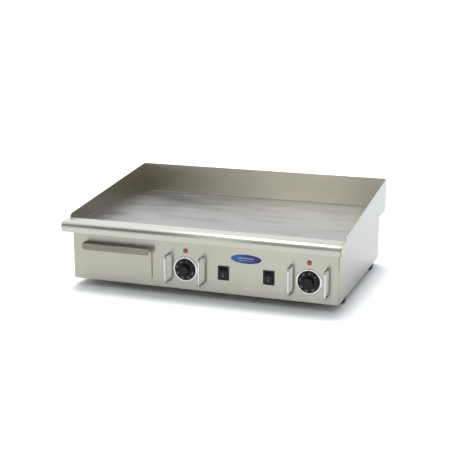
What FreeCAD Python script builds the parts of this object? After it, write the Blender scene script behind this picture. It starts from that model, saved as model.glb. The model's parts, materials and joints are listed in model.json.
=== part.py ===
import FreeCAD
import Part
import Sketcher
import math
import os

# Two-zone electric countertop griddle, millimetres.
# Every piece is drawn in the panel frame: x to the right from the middle, y to the rear from
# the face of the control panel, z up from the lower edge of the casing.
# Its Placement then moves it to the row frame, whose origin is the middle of the footprint
# on the worktop.

V = FreeCAD.Vector

doc = FreeCAD.newDocument("FlatTopGriddle")
sheet = doc.addObject("Spreadsheet::Sheet", "Sizes")
pieces = []


# ---------------------------------------------------------------- sizes and expressions

class Size:
    """A length in mm together with the expression that works it out from the sheet."""

    def __init__(self, value, text):
        self.value = value
        self.text = text

    def __add__(self, other):
        other = as_size(other)
        return Size(self.value + other.value, f"({self.text} + {other.text})")

    def __sub__(self, other):
        other = as_size(other)
        return Size(self.value - other.value, f"({self.text} - {other.text})")

    def __rsub__(self, other):
        return as_size(other) - self

    def __mul__(self, factor):
        return Size(self.value * factor, f"({self.text} * ({factor}))")

    def __truediv__(self, divisor):
        return Size(self.value / divisor, f"({self.text} / {divisor})")

    def __neg__(self):
        return self * -1

    __radd__ = __add__
    __rmul__ = __mul__


def as_size(amount):
    if isinstance(amount, Size):
        return amount
    return Size(float(amount), f"({float(amount)})")


def size(alias, value, meaning):
    """Write one driving size into the sheet and return it."""
    size.row += 1
    sheet.set(f"A{size.row}", meaning)
    sheet.set(f"B{size.row}", str(value))
    sheet.setAlias(f"B{size.row}", alias)
    return Size(float(value), f"Sizes.{alias}")


size.row = 0

# overall
TOP_WIDTH = size("top_width", 730, "width across the splash guards")
BODY_DEPTH = size("body_depth", 460, "casing, front to rear")
BODY_HEIGHT = size("body_height", 130, "casing, lower edge to top flange")
BODY_INSET = size("body_inset", 12, "casing side behind the splash guard side")
REAR_OVERHANG = size("rear_overhang", 18, "splash guard past the casing's rear")
FOOT_HEIGHT = size("foot_height", 20, "worktop to casing")

# sheet metal
TOP_SHEET = size("top_sheet", 1.5, "splash guard, nose and gutter sheet")
CASING_SHEET = size("casing_sheet", 1.2, "casing sheet")
INNER_SHEET = size("inner_sheet", 1.0, "base plate, tray and shield sheet")
CASING_CORNER = size("casing_corner", 3, "outside bend of the casing corners")

# splash guard and nose, heights above the casing
SPLASH_FRONT = size("splash_front", 11, "front edge of the side guards behind the panel")
SPLASH_FLAT = size("splash_flat", 0.5, "upright part of the side guard's front edge")
SPLASH_HIGH = size("splash_high", 90, "guard height at the rear")
SPLASH_CORNER = size("splash_corner", 9, "rounding of the side guard's front corner")
NOSE_REACH = size("nose_reach", 38.5, "nose in front of the panel")
NOSE_FLAT = size("nose_flat", 0.5, "upright part of the nose under its roll")
NOSE_RADIUS = size("nose_radius", 15, "roll of the nose")
NOSE_LEAN = size("nose_lean", 2.5, "nose's lower edge behind its front")
NOSE_STRAIGHT = size("nose_straight", 11.5, "height of the leaning part of the nose")
NOSE_BACK = size("nose_back", 11.5, "rear face of the nose behind the panel")
NOSE_GAP = size("nose_gap", 0.4, "gap between nose and side sheet")

# plate, gutter and drain
PLATE_THICKNESS = size("plate_thickness", 8, "cooking plate")
GUTTER_FRONT = size("gutter_front", 24, "front of the gutter slot")
GUTTER_WIDTH = size("gutter_width", 44, "width of the gutter slot")
GUTTER_DEPTH = size("gutter_depth", 26, "gutter below the plate")
GUTTER_RIM = size("gutter_rim", 26, "gutter end to casing side")
GUTTER_LIP = size("gutter_lip", 2, "free lip of the gutter under the plate")
DRAIN_BORE = size("drain_bore", 15, "radius of the drain")
SPOUT_LENGTH = size("spout_length", 20, "drain spout below the gutter")

# casing flanges and seams
SEAM = size("seam", 97, "side seam behind the panel")
SEAM_GAP = size("seam_gap", 0.5, "open width of the side seam")
TOP_FLANGE = size("top_flange", 12, "side and rear top flange")
TOP_FLANGE_FRONT = size("top_flange_front", 20, "front top flange")
LOW_FLANGE = size("low_flange", 40, "side lower flange")
LOW_FLANGE_END = size("low_flange_end", 24, "front and rear lower flange")
FIT_GAP = size("fit_gap", 0.3, "clearance of a loose fit")

# feet and base screws
FOOT_TOP = size("foot_top", 20, "foot radius at the casing")
FOOT_TIP = size("foot_tip", 16, "foot radius at the worktop")
FOOT_SIDE = size("foot_side", 21.5, "foot middle to casing side")
FOOT_FRONT = size("foot_front", 88, "front foot behind the panel")
FOOT_REAR = size("foot_rear", 57, "rear foot ahead of the casing's rear")
FOOT_SCREW = size("foot_screw", 2.5, "foot screw radius")
BASE_SCREW = size("base_screw", 2, "base screw radius")
BASE_SCREW_SIDE = size("base_screw_side", 19, "outer base screw to casing side")
BASE_SCREW_EDGE = size("base_screw_edge", 12, "base screws to casing front and rear")

# control panel
CONTROL_X = size("control_x", 119.6, "middle of the control group")
KNOB_SPREAD = size("knob_spread", 159.5, "knob to the middle of the group")
KNOB_Z = size("knob_z", 52, "height of knobs and switches")
DIAL_RADIUS = size("dial_radius", 27, "knob dial")
GRIP_RADIUS = size("grip_radius", 14, "knob grip")
KNOB_REACH = size("knob_reach", 19, "knob grip in front of the panel")
BEZEL_BAND = size("bezel_band", 5.5, "bezel ring past the dial")
SPINDLE_RADIUS = size("spindle_radius", 3, "thermostat spindle")
RUNNING_GAP = size("running_gap", 0.05, "radial clearance of a running fit")
LAMP_Z = size("lamp_z", 99, "height of the pilot lamps")
LAMP_RADIUS = size("lamp_radius", 7.5, "pilot lamp flange")
SWITCH_SPREAD = size("switch_spread", 58.6, "switch to the middle of the group")
SWITCH_WIDTH = size("switch_width", 28.5, "switch frame width")
SWITCH_HEIGHT = size("switch_height", 36, "switch frame height")
SWITCH_WALL = size("switch_wall", 4.25, "switch frame beside the rocker")
BADGE_Z = size("badge_z", 92.8, "height of the badge")
BADGE_LENGTH = size("badge_length", 79, "badge length")
BADGE_HEIGHT = size("badge_height", 23, "badge height")
GUARD_OFFSET = size("guard_offset", 45, "guard to knob middle")
GUARD_REACH = size("guard_reach", 25, "guard bar in front of the panel")
GUARD_LOW = size("guard_low", 18.5, "lower leg of the guards")
GUARD_HIGH = size("guard_high", 87, "upper leg of the guards")
GUARD_ROD = size("guard_rod", 3, "guard rod radius")
GUARD_BEND = size("guard_bend", 8, "guard bend radius")

# grease drawer
DRAWER_X = size("drawer_x", -223.7, "middle of the drawer")
DRAWER_WIDTH = size("drawer_width", 185, "drawer front width")
DRAWER_LOW = size("drawer_low", 16.5, "lower edge of the drawer front")
DRAWER_HEAD = size("drawer_head", 29.3, "drawer front below the casing's top")
DRAWER_PROUD = size("drawer_proud", 3.5, "drawer front ahead of the panel")
DRAWER_CORNER = size("drawer_corner", 8, "lower corners of the drawer front")
DRAWER_LAP = size("drawer_lap", 3, "drawer front past the panel opening")
HANDLE_REACH = size("handle_reach", 22, "handle lip ahead of the panel")
HANDLE_DROP = size("handle_drop", 17, "height of the handle lip")
HANDLE_CORNER = size("handle_corner", 5, "lower corners of the handle lip")
HANDLE_LEAN = size("handle_lean", 2, "handle lip's lower edge ahead of its bend")
HANDLE_BEND = size("handle_bend", 1.6, "outside bend over the handle lip")
TRAY_LENGTH = size("tray_length", 300, "tray behind the panel")
TRAY_HEADROOM = size("tray_headroom", 4.8, "tray rim below the stud ends")
TRAY_SIDE = size("tray_side", 3.5, "tray side to panel opening")
RAIL_LEDGE = size("rail_ledge", 12, "ledge under the tray")
RAIL_LIP = size("rail_lip", 15, "lip beside the tray")

# heating under the plate
ZONE_X = size("zone_x", 172, "middle of a heating zone")
LEG_PITCH = size("leg_pitch", 66, "spacing of the element legs")
ELEMENT_RADIUS = size("element_radius", 4.25, "element tube radius")
ELEMENT_STRAIGHT = size("element_straight", 6, "straight tube between two bends")
ELEMENT_FRONT = size("element_front", 98, "element ends behind the panel")
ELEMENT_REAR = size("element_rear", 30, "element bends ahead of the casing's rear")
CLAMP_BAR = size("clamp_bar", 3, "clamp bar thickness")
CLAMP_WIDTH = size("clamp_width", 20, "clamp bar width")
STUD_RADIUS = size("stud_radius", 3, "stud under the plate")
NUT_HEIGHT = size("nut_height", 5, "nut on a stud")
INSULATION = size("insulation", 20, "insulation thickness")
BULB_RADIUS = size("bulb_radius", 3, "sensor bulb")
CAPILLARY_RADIUS = size("capillary_radius", 1, "capillary tube")

# rear: cord entry
GLAND_X = size("gland_x", 280, "cable gland")
GLAND_Z = size("gland_z", 35, "height of the cable gland")
GLAND_BORE = size("gland_bore", 5.5, "gland bore radius")
GLAND_REACH = size("gland_reach", 16, "gland behind the casing")

overall_depth = NOSE_REACH + BODY_DEPTH + REAR_OVERHANG
panel_y = NOSE_REACH - overall_depth / 2
half_body = TOP_WIDTH / 2 - BODY_INSET
half_inside = TOP_WIDTH / 2 - TOP_SHEET
rear_face = BODY_DEPTH + REAR_OVERHANG
rear_inside = rear_face - TOP_SHEET
nose_height = NOSE_STRAIGHT + NOSE_FLAT + NOSE_RADIUS
splash_low = nose_height + SPLASH_FLAT + SPLASH_CORNER
bezel_radius = DIAL_RADIUS + BEZEL_BAND
rocker_width = SWITCH_WIDTH - SWITCH_WALL * 2
element_bend = (LEG_PITCH - ELEMENT_STRAIGHT) / 2
drain_y = GUTTER_FRONT + GUTTER_WIDTH / 2
half_opening = DRAWER_WIDTH / 2 - DRAWER_LAP
drawer_top = BODY_HEIGHT - DRAWER_HEAD
foot_x = half_body - FOOT_SIDE
rear_foot_y = BODY_DEPTH - FOOT_REAR
nut_across = 1.9


# ---------------------------------------------------------------- building helpers

def bind(thing, prop, amount):
    thing.setExpression(prop, as_size(amount).text)


def place(thing, x=0, y=0, z=0):
    """Bind a Placement: a place in the panel frame, moved to the row frame."""
    bind(thing, "Placement.Base.x", x)
    bind(thing, "Placement.Base.y", panel_y + y)
    bind(thing, "Placement.Base.z", FOOT_HEIGHT + z)


def keep(thing, label):
    """Name a finished sub-part and list it for export."""
    thing.Label = label
    pieces.append(thing)
    return thing


def origin_plane(body, role):
    return next(feature for feature in body.Origin.OriginFeatures if feature.Role == role)


def new_body(label, x=0, y=0, z=0, grouped=False):
    """A body with its Placement; a grouped one is exported with its group."""
    body = doc.addObject("PartDesign::Body", label)
    place(body, x, y, z)
    return body if grouped else keep(body, label)


# normal of each plane's sketches along the row axis that the plane faces
PLANE_SIGN = {"XY_Plane": 1, "XZ_Plane": -1, "YZ_Plane": 1}


def new_sketch(body, role, offset=0):
    """A sketch parallel to an origin plane, at a distance along the plane's row axis."""
    sketch = body.newObject("Sketcher::SketchObject", "Sketch")
    sketch.AttachmentSupport = [(origin_plane(body, role), "")]
    sketch.MapMode = "FlatFace"
    bind(sketch, "AttachmentOffset.Base.z", as_size(offset) * PLANE_SIGN[role])
    return sketch


class Drawing:
    """Lines, arcs and circles of one sketch, each fixed by sizes, added in one go."""

    def __init__(self, sketch):
        self.sketch = sketch
        self.shapes = []
        self.limits = []
        self.texts = {}

    def add(self, shape):
        self.shapes.append(shape)
        return len(self.shapes) - 1

    def limit(self, *terms):
        self.limits.append(Sketcher.Constraint(*terms))

    def pin(self, kind, amount, *terms):
        amount = as_size(amount)
        self.texts[len(self.limits)] = amount.text
        self.limit(kind, *terms, amount.value)

    def pin_point(self, index, end, point):
        """Fix a line's end, or a circle's centre, to two sizes."""
        self.pin("DistanceX", point[0], index, end)
        self.pin("DistanceY", point[1], index, end)

    def finish(self):
        self.sketch.addGeometry(self.shapes, False)
        self.sketch.addConstraint(self.limits)
        for number, text in self.texts.items():
            self.sketch.setExpression(f"Constraints[{number}]", text)


def sign(number):
    return (number > 0) - (number < 0)


def flat(point):
    """A sketch point's present position."""
    return V(as_size(point[0]).value, as_size(point[1]).value, 0)


def corner_ends(before, corner, after):
    """The two tangent points of a rounded corner whose edges follow the sketch axes."""
    u, v, radius = (as_size(part) for part in corner)
    ends = []
    for other in (before, after):
        step = flat(other) - flat(corner)
        step_u = sign(round(step.x, 6))
        step_v = sign(round(step.y, 6))
        ends.append((u + radius * step_u, v + radius * step_v))
    return ends


def draw_path(drawing, points, closed=True):
    """Straight runs through points (u, v); a point (u, v, radius) is a rounded corner."""
    count = len(points)
    stops = []
    for number, point in enumerate(points):
        if len(point) == 3:
            stops.append(corner_ends(points[number - 1], point, points[(number + 1) % count]))
        else:
            stops.append((point, point))
    lines = []
    for number in range(count if closed else count - 1):
        start = stops[number][1]
        finish = stops[(number + 1) % count][0]
        line = drawing.add(Part.LineSegment(flat(start), flat(finish)))
        drawing.pin_point(line, 1, start)
        free_end = not closed and number == count - 2
        if len(points[(number + 1) % count]) == 3 or free_end:
            drawing.pin_point(line, 2, finish)
        lines.append(line)
    for number in range(count if closed else count - 2):
        after = (number + 1) % count
        line = lines[number]
        next_line = lines[(number + 1) % len(lines)]
        if len(points[after]) == 3:
            draw_corner(drawing, points[after], stops[after], line, next_line)
        else:
            drawing.limit("Coincident", line, 2, next_line, 1)


def draw_corner(drawing, corner, ends, line, next_line):
    """The quarter arc between two lines of a path."""
    begin, end = (flat(stop) for stop in ends)
    tip = flat(corner)
    centre = begin + end - tip
    turns_left = (tip - begin).cross(end - tip).z > 0
    low = begin if turns_left else end
    start = math.atan2(low.y - centre.y, low.x - centre.x)
    circle = Part.Circle(centre, V(0, 0, 1), as_size(corner[2]).value)
    arc = drawing.add(Part.ArcOfCircle(circle, start, start + math.pi / 2))
    first, last = (1, 2) if turns_left else (2, 1)
    drawing.limit("Coincident", line, 2, arc, first)
    drawing.limit("Coincident", arc, last, next_line, 1)
    drawing.pin("Radius", corner[2], arc)


def draw_circle(drawing, u, v, radius):
    circle = Part.Circle(flat((u, v)), V(0, 0, 1), as_size(radius).value)
    index = drawing.add(circle)
    drawing.pin_point(index, 3, (u, v))
    drawing.pin("Radius", radius, index)


def rectangle(u, v, radius=None):
    """Corner points of a rectangle between the limits u and v, rounded if a radius is given."""
    corners = [(u[0], v[0]), (u[1], v[0]), (u[1], v[1]), (u[0], v[1])]
    if radius is None:
        return corners
    return [corner + (radius,) for corner in corners]


def fill_sketch(body, role, at, outlines=(), circles=(), closed=True):
    """A sketch parallel to an origin plane that holds outlines and circles."""
    sketch = new_sketch(body, role, at)
    drawing = Drawing(sketch)
    for outline in outlines:
        draw_path(drawing, outline, closed)
    for circle in circles:
        draw_circle(drawing, *circle)
    drawing.finish()
    return sketch


def pad(body, role, low, high, *outlines, circles=()):
    """Add material between low and high along the plane's row axis."""
    sketch = fill_sketch(body, role, low, outlines, circles)
    feature = body.newObject("PartDesign::Pad", "Pad")
    feature.Profile = sketch
    bind(feature, "Length", as_size(high) - low)
    feature.Reversed = PLANE_SIGN[role] < 0
    return feature


def pocket(body, role, low, high, *outlines, circles=()):
    """Remove material between low and high along the plane's row axis."""
    sketch = fill_sketch(body, role, low, outlines, circles)
    feature = body.newObject("PartDesign::Pocket", "Pocket")
    feature.Profile = sketch
    bind(feature, "Length", as_size(high) - low)
    feature.Reversed = PLANE_SIGN[role] > 0
    return feature


def repeat(body, feature, axis, pitch, count):
    """Repeat a pocket along one axis of its sketch."""
    pattern = body.newObject("PartDesign::LinearPattern", "Pattern")
    pattern.Originals = [feature]
    pattern.Direction = (feature.Profile[0], [axis])
    bind(pattern, "Length", as_size(pitch) * (count - 1))
    pattern.Occurrences = count
    body.Tip = pattern
    return pattern


def round_edges(body, radius, wanted):
    """Fillet the edges of the body's last feature that the test picks."""
    doc.recompute()
    base = body.Tip
    names = [f"Edge{number}" for number, edge in enumerate(base.Shape.Edges, 1) if wanted(edge)]
    feature = body.newObject("PartDesign::Fillet", "Fillet")
    feature.Base = (base, names)
    bind(feature, "Radius", radius)
    return feature


def runs_along(edge, axis):
    """True for a straight edge along the axis."""
    if edge.Curve.TypeId != "Part::GeomLine":
        return False
    return abs(edge.tangentAt(edge.FirstParameter).dot(axis)) > 0.999


def turned_about_y(label, x, z, profile, grouped=False):
    """A turned piece whose axis is along y; profile points are (y, radius)."""
    body = new_body(label, x=x, z=z, grouped=grouped)
    sketch = fill_sketch(body, "YZ_Plane", 0, [profile])
    feature = body.newObject("PartDesign::Revolution", "Revolution")
    feature.Profile = sketch
    feature.ReferenceAxis = (sketch, ["H_Axis"])
    feature.Angle = 360
    return body


def turned_about_z(label, x, y, profile):
    """A turned piece whose axis is along z; profile points are (radius, z)."""
    body = new_body(label, x=x, y=y)
    sketch = fill_sketch(body, "XZ_Plane", 0, [profile])
    feature = body.newObject("PartDesign::Revolution", "Revolution")
    feature.Profile = sketch
    feature.ReferenceAxis = (sketch, ["V_Axis"])
    feature.Angle = 360
    return body


def box(x, y, z):
    """A block between three pairs of limits."""
    solid = doc.addObject("Part::Box", "Block")
    for prop, span in (("Length", x), ("Width", y), ("Height", z)):
        bind(solid, prop, as_size(span[1]) - span[0])
    place(solid, x[0], y[0], z[0])
    return solid


AXIS_TURN = {
    "x": FreeCAD.Rotation(V(0, 1, 0), 90),
    "y": FreeCAD.Rotation(V(1, 0, 0), -90),
    "z": FreeCAD.Rotation(),
}


def rod(axis, x, y, z, radius, length):
    """A round bar that starts at x, y, z and runs along the positive axis."""
    solid = doc.addObject("Part::Cylinder", "Rod")
    bind(solid, "Radius", radius)
    bind(solid, "Height", length)
    solid.Placement = FreeCAD.Placement(V(0, 0, 0), AXIS_TURN[axis])
    place(solid, x, y, z)
    return solid


def hexagon(axis, x, y, z, radius, length):
    """A six-sided bar that starts at x, y, z and runs along the positive axis."""
    solid = doc.addObject("Part::Prism", "Hexagon")
    solid.Polygon = 6
    bind(solid, "Circumradius", radius)
    bind(solid, "Height", length)
    solid.Placement = FreeCAD.Placement(V(0, 0, 0), AXIS_TURN[axis])
    place(solid, x, y, z)
    return solid


def cut(base, tool):
    result = doc.addObject("Part::Cut", "Cut")
    result.Base = base
    result.Tool = tool
    return result


def fuse(*members):
    result = doc.addObject("Part::MultiFuse", "Fusion")
    result.Shapes = list(members)
    return result


def group(label, members):
    """Identical fasteners of one kind, as separate solids in one sub-part."""
    result = doc.addObject("Part::Compound", label)
    result.Links = list(members)
    return keep(result, label)


def nut(axis, x, y, z, thread, length):
    body = hexagon(axis, x, y, z, thread * nut_across, length)
    return cut(body, rod(axis, x, y, z, thread + RUNNING_GAP, length))


def pan_screw(axis, x, y, z, thread, head_height, length):
    """A pan-head screw whose head starts at x, y, z and whose shank runs along the axis."""
    head = rod(axis, x, y, z, thread * 2, head_height)
    shank = rod(axis, x, y, z, thread, head_height + length)
    return fuse(head, shank)


def both_sides(*offsets):
    return [side * offset for offset in offsets for side in (-1, 1)]


# ---------------------------------------------------------------- plate and splash guard

gutter_rear = GUTTER_FRONT + GUTTER_WIDTH
half_gutter = half_body - GUTTER_RIM
plate_top = BODY_HEIGHT + PLATE_THICKNESS


def build_plate():
    body = new_body("griddle_plate")
    outline = rectangle((-half_inside, half_inside), (NOSE_BACK, rear_inside))
    slot = rectangle((-half_gutter, half_gutter), (GUTTER_FRONT, gutter_rear))
    pad(body, "XY_Plane", BODY_HEIGHT, plate_top, outline)
    pocket(body, "XY_Plane", BODY_HEIGHT - 1, plate_top + 1, slot)


def side_outline():
    """Side sheet seen from the side: skirt, end of the nose and sloping splash guard."""
    base = BODY_HEIGHT
    return [
        (rear_face, base),
        (NOSE_LEAN - NOSE_REACH, base),
        (-NOSE_REACH, base + NOSE_STRAIGHT),
        (-NOSE_REACH, base + nose_height, NOSE_RADIUS),
        (SPLASH_FRONT, base + nose_height),
        (SPLASH_FRONT, base + splash_low),
        (rear_face, base + SPLASH_HIGH),
    ]


def build_side_guard(label, low, high):
    body = new_body(label)
    pad(body, "YZ_Plane", low, high, side_outline())
    corner_height = (BODY_HEIGHT + splash_low).value

    def front_corner(edge):
        middle = edge.CenterOfMass
        near = abs(middle.y - SPLASH_FRONT.value) < 0.01 and abs(middle.z - corner_height) < 0.01
        return runs_along(edge, V(1, 0, 0)) and near

    round_edges(body, SPLASH_CORNER, front_corner)


def build_rear_guard():
    heights = (BODY_HEIGHT, BODY_HEIGHT + SPLASH_HIGH)
    guard = box((-half_inside, half_inside), (rear_inside, rear_face), heights)
    keep(guard, "splash_back")


def build_nose():
    base = BODY_HEIGHT
    sheet_in = TOP_SHEET
    inside_roll = NOSE_RADIUS - TOP_SHEET
    top = base + nose_height
    outline = [
        (0, base),
        (NOSE_LEAN - NOSE_REACH, base),
        (-NOSE_REACH, base + NOSE_STRAIGHT),
        (-NOSE_REACH, top, NOSE_RADIUS),
        (NOSE_BACK, top, sheet_in + 0.5),
        (NOSE_BACK, base),
        (NOSE_BACK - sheet_in, base),
        (NOSE_BACK - sheet_in, top - sheet_in, 0.5),
        (sheet_in - NOSE_REACH, top - sheet_in, inside_roll),
        (sheet_in - NOSE_REACH, base + NOSE_STRAIGHT),
        (NOSE_LEAN - NOSE_REACH + sheet_in, base + sheet_in),
        (0, base + sheet_in),
    ]
    body = new_body("front_nose")
    pad(body, "YZ_Plane", NOSE_GAP - half_inside, half_inside - NOSE_GAP, outline)


def build_gutter():
    body = new_body("grease_gutter")
    lip = TOP_SHEET + GUTTER_LIP
    floor = BODY_HEIGHT - GUTTER_DEPTH
    rim = rectangle(
        (-half_gutter - lip * 2, half_gutter + lip * 2),
        (GUTTER_FRONT - lip, gutter_rear + lip * 2),
    )
    walls = rectangle(
        (-half_gutter - TOP_SHEET, half_gutter + TOP_SHEET),
        (GUTTER_FRONT - TOP_SHEET, gutter_rear + TOP_SHEET),
    )
    inside = rectangle((-half_gutter, half_gutter), (GUTTER_FRONT, gutter_rear))
    pad(body, "XY_Plane", BODY_HEIGHT - TOP_SHEET, BODY_HEIGHT, rim)
    pad(body, "XY_Plane", floor, BODY_HEIGHT, walls)
    pocket(body, "XY_Plane", floor + TOP_SHEET, BODY_HEIGHT + 1, inside)
    hole = [(DRAWER_X, drain_y, DRAIN_BORE)]
    pocket(body, "XY_Plane", floor - 1, floor + TOP_SHEET + 1, circles=hole)


def build_spout():
    top = BODY_HEIGHT - GUTTER_DEPTH
    low = top - SPOUT_LENGTH
    outside = DRAIN_BORE + TOP_SHEET
    profile = [(DRAIN_BORE, low), (outside, low), (outside, top), (DRAIN_BORE, top)]
    turned_about_z("drain_spout", DRAWER_X, drain_y, profile)


# ---------------------------------------------------------------- casing

def folded_wall(end, corner):
    """Plan of three walls: two sides from the open end to a front or rear wall at corner."""
    inward = sign(as_size(end).value - as_size(corner).value)
    inner_face = corner + CASING_SHEET * inward
    inner_bend = CASING_CORNER - CASING_SHEET
    half_in = half_body - CASING_SHEET
    return [
        (-half_body, end),
        (-half_body, corner, CASING_CORNER),
        (half_body, corner, CASING_CORNER),
        (half_body, end),
        (half_in, end),
        (half_in, inner_face, inner_bend),
        (-half_in, inner_face, inner_bend),
        (-half_in, end),
    ]


def folded_flange(end, corner, side_width, end_width):
    """Plan of the inward flange that follows three walls."""
    inward = sign(as_size(end).value - as_size(corner).value)
    inner_face = corner + CASING_SHEET * inward
    free_edge = corner + end_width * inward
    half_in = half_body - CASING_SHEET
    half_free = half_body - side_width
    return [
        (-half_in, end),
        (-half_in, inner_face),
        (half_in, inner_face),
        (half_in, end),
        (half_free, end),
        (half_free, free_edge),
        (-half_free, free_edge),
        (-half_free, end),
    ]


def build_casing(label, end, corner, top_end_flange):
    body = new_body(label)
    top_flange = folded_flange(end, corner, TOP_FLANGE, top_end_flange)
    low_flange = folded_flange(end, corner, LOW_FLANGE, LOW_FLANGE_END)
    pad(body, "XY_Plane", 0, BODY_HEIGHT, folded_wall(end, corner))
    pad(body, "XY_Plane", BODY_HEIGHT - CASING_SHEET, BODY_HEIGHT, top_flange)
    pad(body, "XY_Plane", 0, CASING_SHEET, low_flange)
    return body


knob_places = [(name, CONTROL_X + KNOB_SPREAD * side) for name, side in (("left", -1), ("right", 1))]
switch_places = [
    (name, CONTROL_X + SWITCH_SPREAD * side) for name, side in (("left", -1), ("right", 1))
]
guard_places = [x + GUARD_OFFSET * side for _, x in knob_places for side in (-1, 1)]
thermostat_screw = 2
thermostat_screw_offset = 14
lamp_stem = LAMP_RADIUS - 2.5
switch_body_half_width = SWITCH_WIDTH / 2 - 2.2
switch_body_half_height = SWITCH_HEIGHT / 2 - 1.7


def build_front_casing():
    body = build_casing("front_casing", SEAM, as_size(0), TOP_FLANGE_FRONT)
    circles = []
    for _, x in knob_places:
        circles.append((x, KNOB_Z, SPINDLE_RADIUS * 2))
        circles.append((x, LAMP_Z, lamp_stem + FIT_GAP))
        for offset in both_sides(thermostat_screw_offset):
            circles.append((x + offset, KNOB_Z, thermostat_screw + FIT_GAP))
    for x in guard_places:
        for z in (GUARD_LOW, GUARD_HIGH):
            circles.append((x, z, GUARD_ROD + FIT_GAP))
    windows = [rectangle(
        (DRAWER_X - half_opening, DRAWER_X + half_opening),
        (DRAWER_LOW + DRAWER_LAP, drawer_top - DRAWER_LAP),
        DRAWER_LAP,
    )]
    for _, x in switch_places:
        half_w = switch_body_half_width + FIT_GAP
        half_h = switch_body_half_height + FIT_GAP
        windows.append(rectangle((x - half_w, x + half_w), (KNOB_Z - half_h, KNOB_Z + half_h)))
    pocket(body, "XZ_Plane", -1, CASING_SHEET + 1, *windows, circles=circles)
    drill_lower_flange(body, BASE_SCREW_EDGE, FOOT_FRONT)


def drill_lower_flange(body, screw_y, foot_y):
    circles = [(x, screw_y, BASE_SCREW + FIT_GAP) for x in base_screw_places]
    circles += [(x, foot_y, FOOT_SCREW + FIT_GAP) for x in both_sides(foot_x)]
    pocket(body, "XY_Plane", -1, CASING_SHEET + 1, circles=circles)


base_screw_places = [(half_body - BASE_SCREW_SIDE) * (step / 2) for step in (-2, -1, 0, 1, 2)]
vent_length = 60
vent_half_height = 2.5
vent_pitch = 90
vent_columns = 4
vent_rows = 4
vent_row_pitch = 14
base_vent_pitch = 22
base_vent_count = 6
base_vent_start = BODY_DEPTH / 2 - 20
base_vent_ends = (-60, 200)


def build_rear_casing():
    body = build_casing("rear_casing", SEAM + SEAM_GAP, BODY_DEPTH, TOP_FLANGE)
    wall = (BODY_DEPTH - CASING_SHEET - 1, BODY_DEPTH + 1)
    first_span = (-vent_pitch * 2 - vent_length / 2, -vent_pitch * 2 + vent_length / 2)
    for row in range(vent_rows):
        z = BODY_HEIGHT / 2 + vent_row_pitch * (row - (vent_rows - 1) / 2)
        slot = rectangle(first_span, (z - vent_half_height, z + vent_half_height), 2)
        repeat(body, pocket(body, "XZ_Plane", *wall, slot), "H_Axis", vent_pitch, vent_columns)
    pocket(body, "XZ_Plane", *wall, circles=[(GLAND_X, GLAND_Z, gland_thread + FIT_GAP)])
    drill_lower_flange(body, BODY_DEPTH - BASE_SCREW_EDGE, rear_foot_y)


base_top = CASING_SHEET + INNER_SHEET


def build_seam_straps():
    wall = half_body - CASING_SHEET
    reach = 12
    heights = (base_top + FIT_GAP, BODY_HEIGHT - CASING_SHEET - FIT_GAP)
    depths = (SEAM - reach, SEAM + SEAM_GAP + reach)
    left = box((-wall, INNER_SHEET - wall), depths, heights)
    right = box((wall - INNER_SHEET, wall), depths, heights)
    group("seam_straps", [left, right])


def build_base_plate():
    body = new_body("base_plate")
    half = half_body - CASING_SHEET - FIT_GAP
    depths = (CASING_SHEET + FIT_GAP, BODY_DEPTH - CASING_SHEET - FIT_GAP)
    pad(body, "XY_Plane", CASING_SHEET, base_top, rectangle((-half, half), depths, CASING_CORNER))
    circles = []
    for y in (BASE_SCREW_EDGE, BODY_DEPTH - BASE_SCREW_EDGE):
        circles += [(x, y, BASE_SCREW + FIT_GAP) for x in base_screw_places]
    for y in (FOOT_FRONT, rear_foot_y):
        circles += [(x, y, FOOT_SCREW + FIT_GAP) for x in both_sides(foot_x)]
    pocket(body, "XY_Plane", CASING_SHEET - 1, base_top + 1, circles=circles)
    first = (base_vent_start - vent_half_height, base_vent_start + vent_half_height)
    slot = rectangle(base_vent_ends, first, 2)
    vent = pocket(body, "XY_Plane", CASING_SHEET - 1, base_top + 1, slot)
    repeat(body, vent, "V_Axis", base_vent_pitch, base_vent_count)


def build_feet():
    recess = FOOT_SCREW * 2 + 1
    recess_top = -5
    collar = 3
    names = {"front": FOOT_FRONT, "rear": rear_foot_y}
    screws = []
    nuts = []
    for row, y in names.items():
        for side, x in (("left", -foot_x), ("right", foot_x)):
            hole = FOOT_SCREW + FIT_GAP
            profile = [
                (hole, 0),
                (FOOT_TOP, 0),
                (FOOT_TOP, -collar),
                (FOOT_TIP, -FOOT_HEIGHT),
                (recess, -FOOT_HEIGHT),
                (recess, recess_top),
                (hole, recess_top),
            ]
            turned_about_z(f"foot_{row}_{side}", x, y, profile)
            head = 3
            length = base_top + NUT_HEIGHT + 1 - recess_top
            screws.append(pan_screw("z", x, y, recess_top - head, FOOT_SCREW, head, length))
            nuts.append(nut("z", x, y, base_top, FOOT_SCREW, NUT_HEIGHT))
    group("foot_screws", screws)
    group("foot_nuts", nuts)


def build_base_screws():
    head = 2.4
    shank = base_top + 3
    screws = []
    for y in (BASE_SCREW_EDGE, BODY_DEPTH - BASE_SCREW_EDGE):
        for x in base_screw_places:
            screws.append(pan_screw("z", x, y, -head, BASE_SCREW, head, shank))
    group("base_screws", screws)


# ---------------------------------------------------------------- controls

dial_back = 2.6
dial_front = 5.2
bore_end = 15
bezel_height = 2.6


def build_knob(name, x):
    bore = SPINDLE_RADIUS + RUNNING_GAP
    dial_break = 0.8
    grip_break = 1.5
    grip_taper = 0.5
    profile = [
        (-dial_back, bore),
        (-dial_back, DIAL_RADIUS),
        (dial_break - dial_front, DIAL_RADIUS),
        (-dial_front, DIAL_RADIUS - 1),
        (-dial_front, GRIP_RADIUS + grip_taper),
        (grip_break - KNOB_REACH, GRIP_RADIUS),
        (-KNOB_REACH, GRIP_RADIUS - grip_break),
        (-KNOB_REACH, 0),
        (-bore_end, 0),
        (-bore_end, bore),
    ]
    turned_about_y(f"knob_{name}", x, KNOB_Z, profile)


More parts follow.
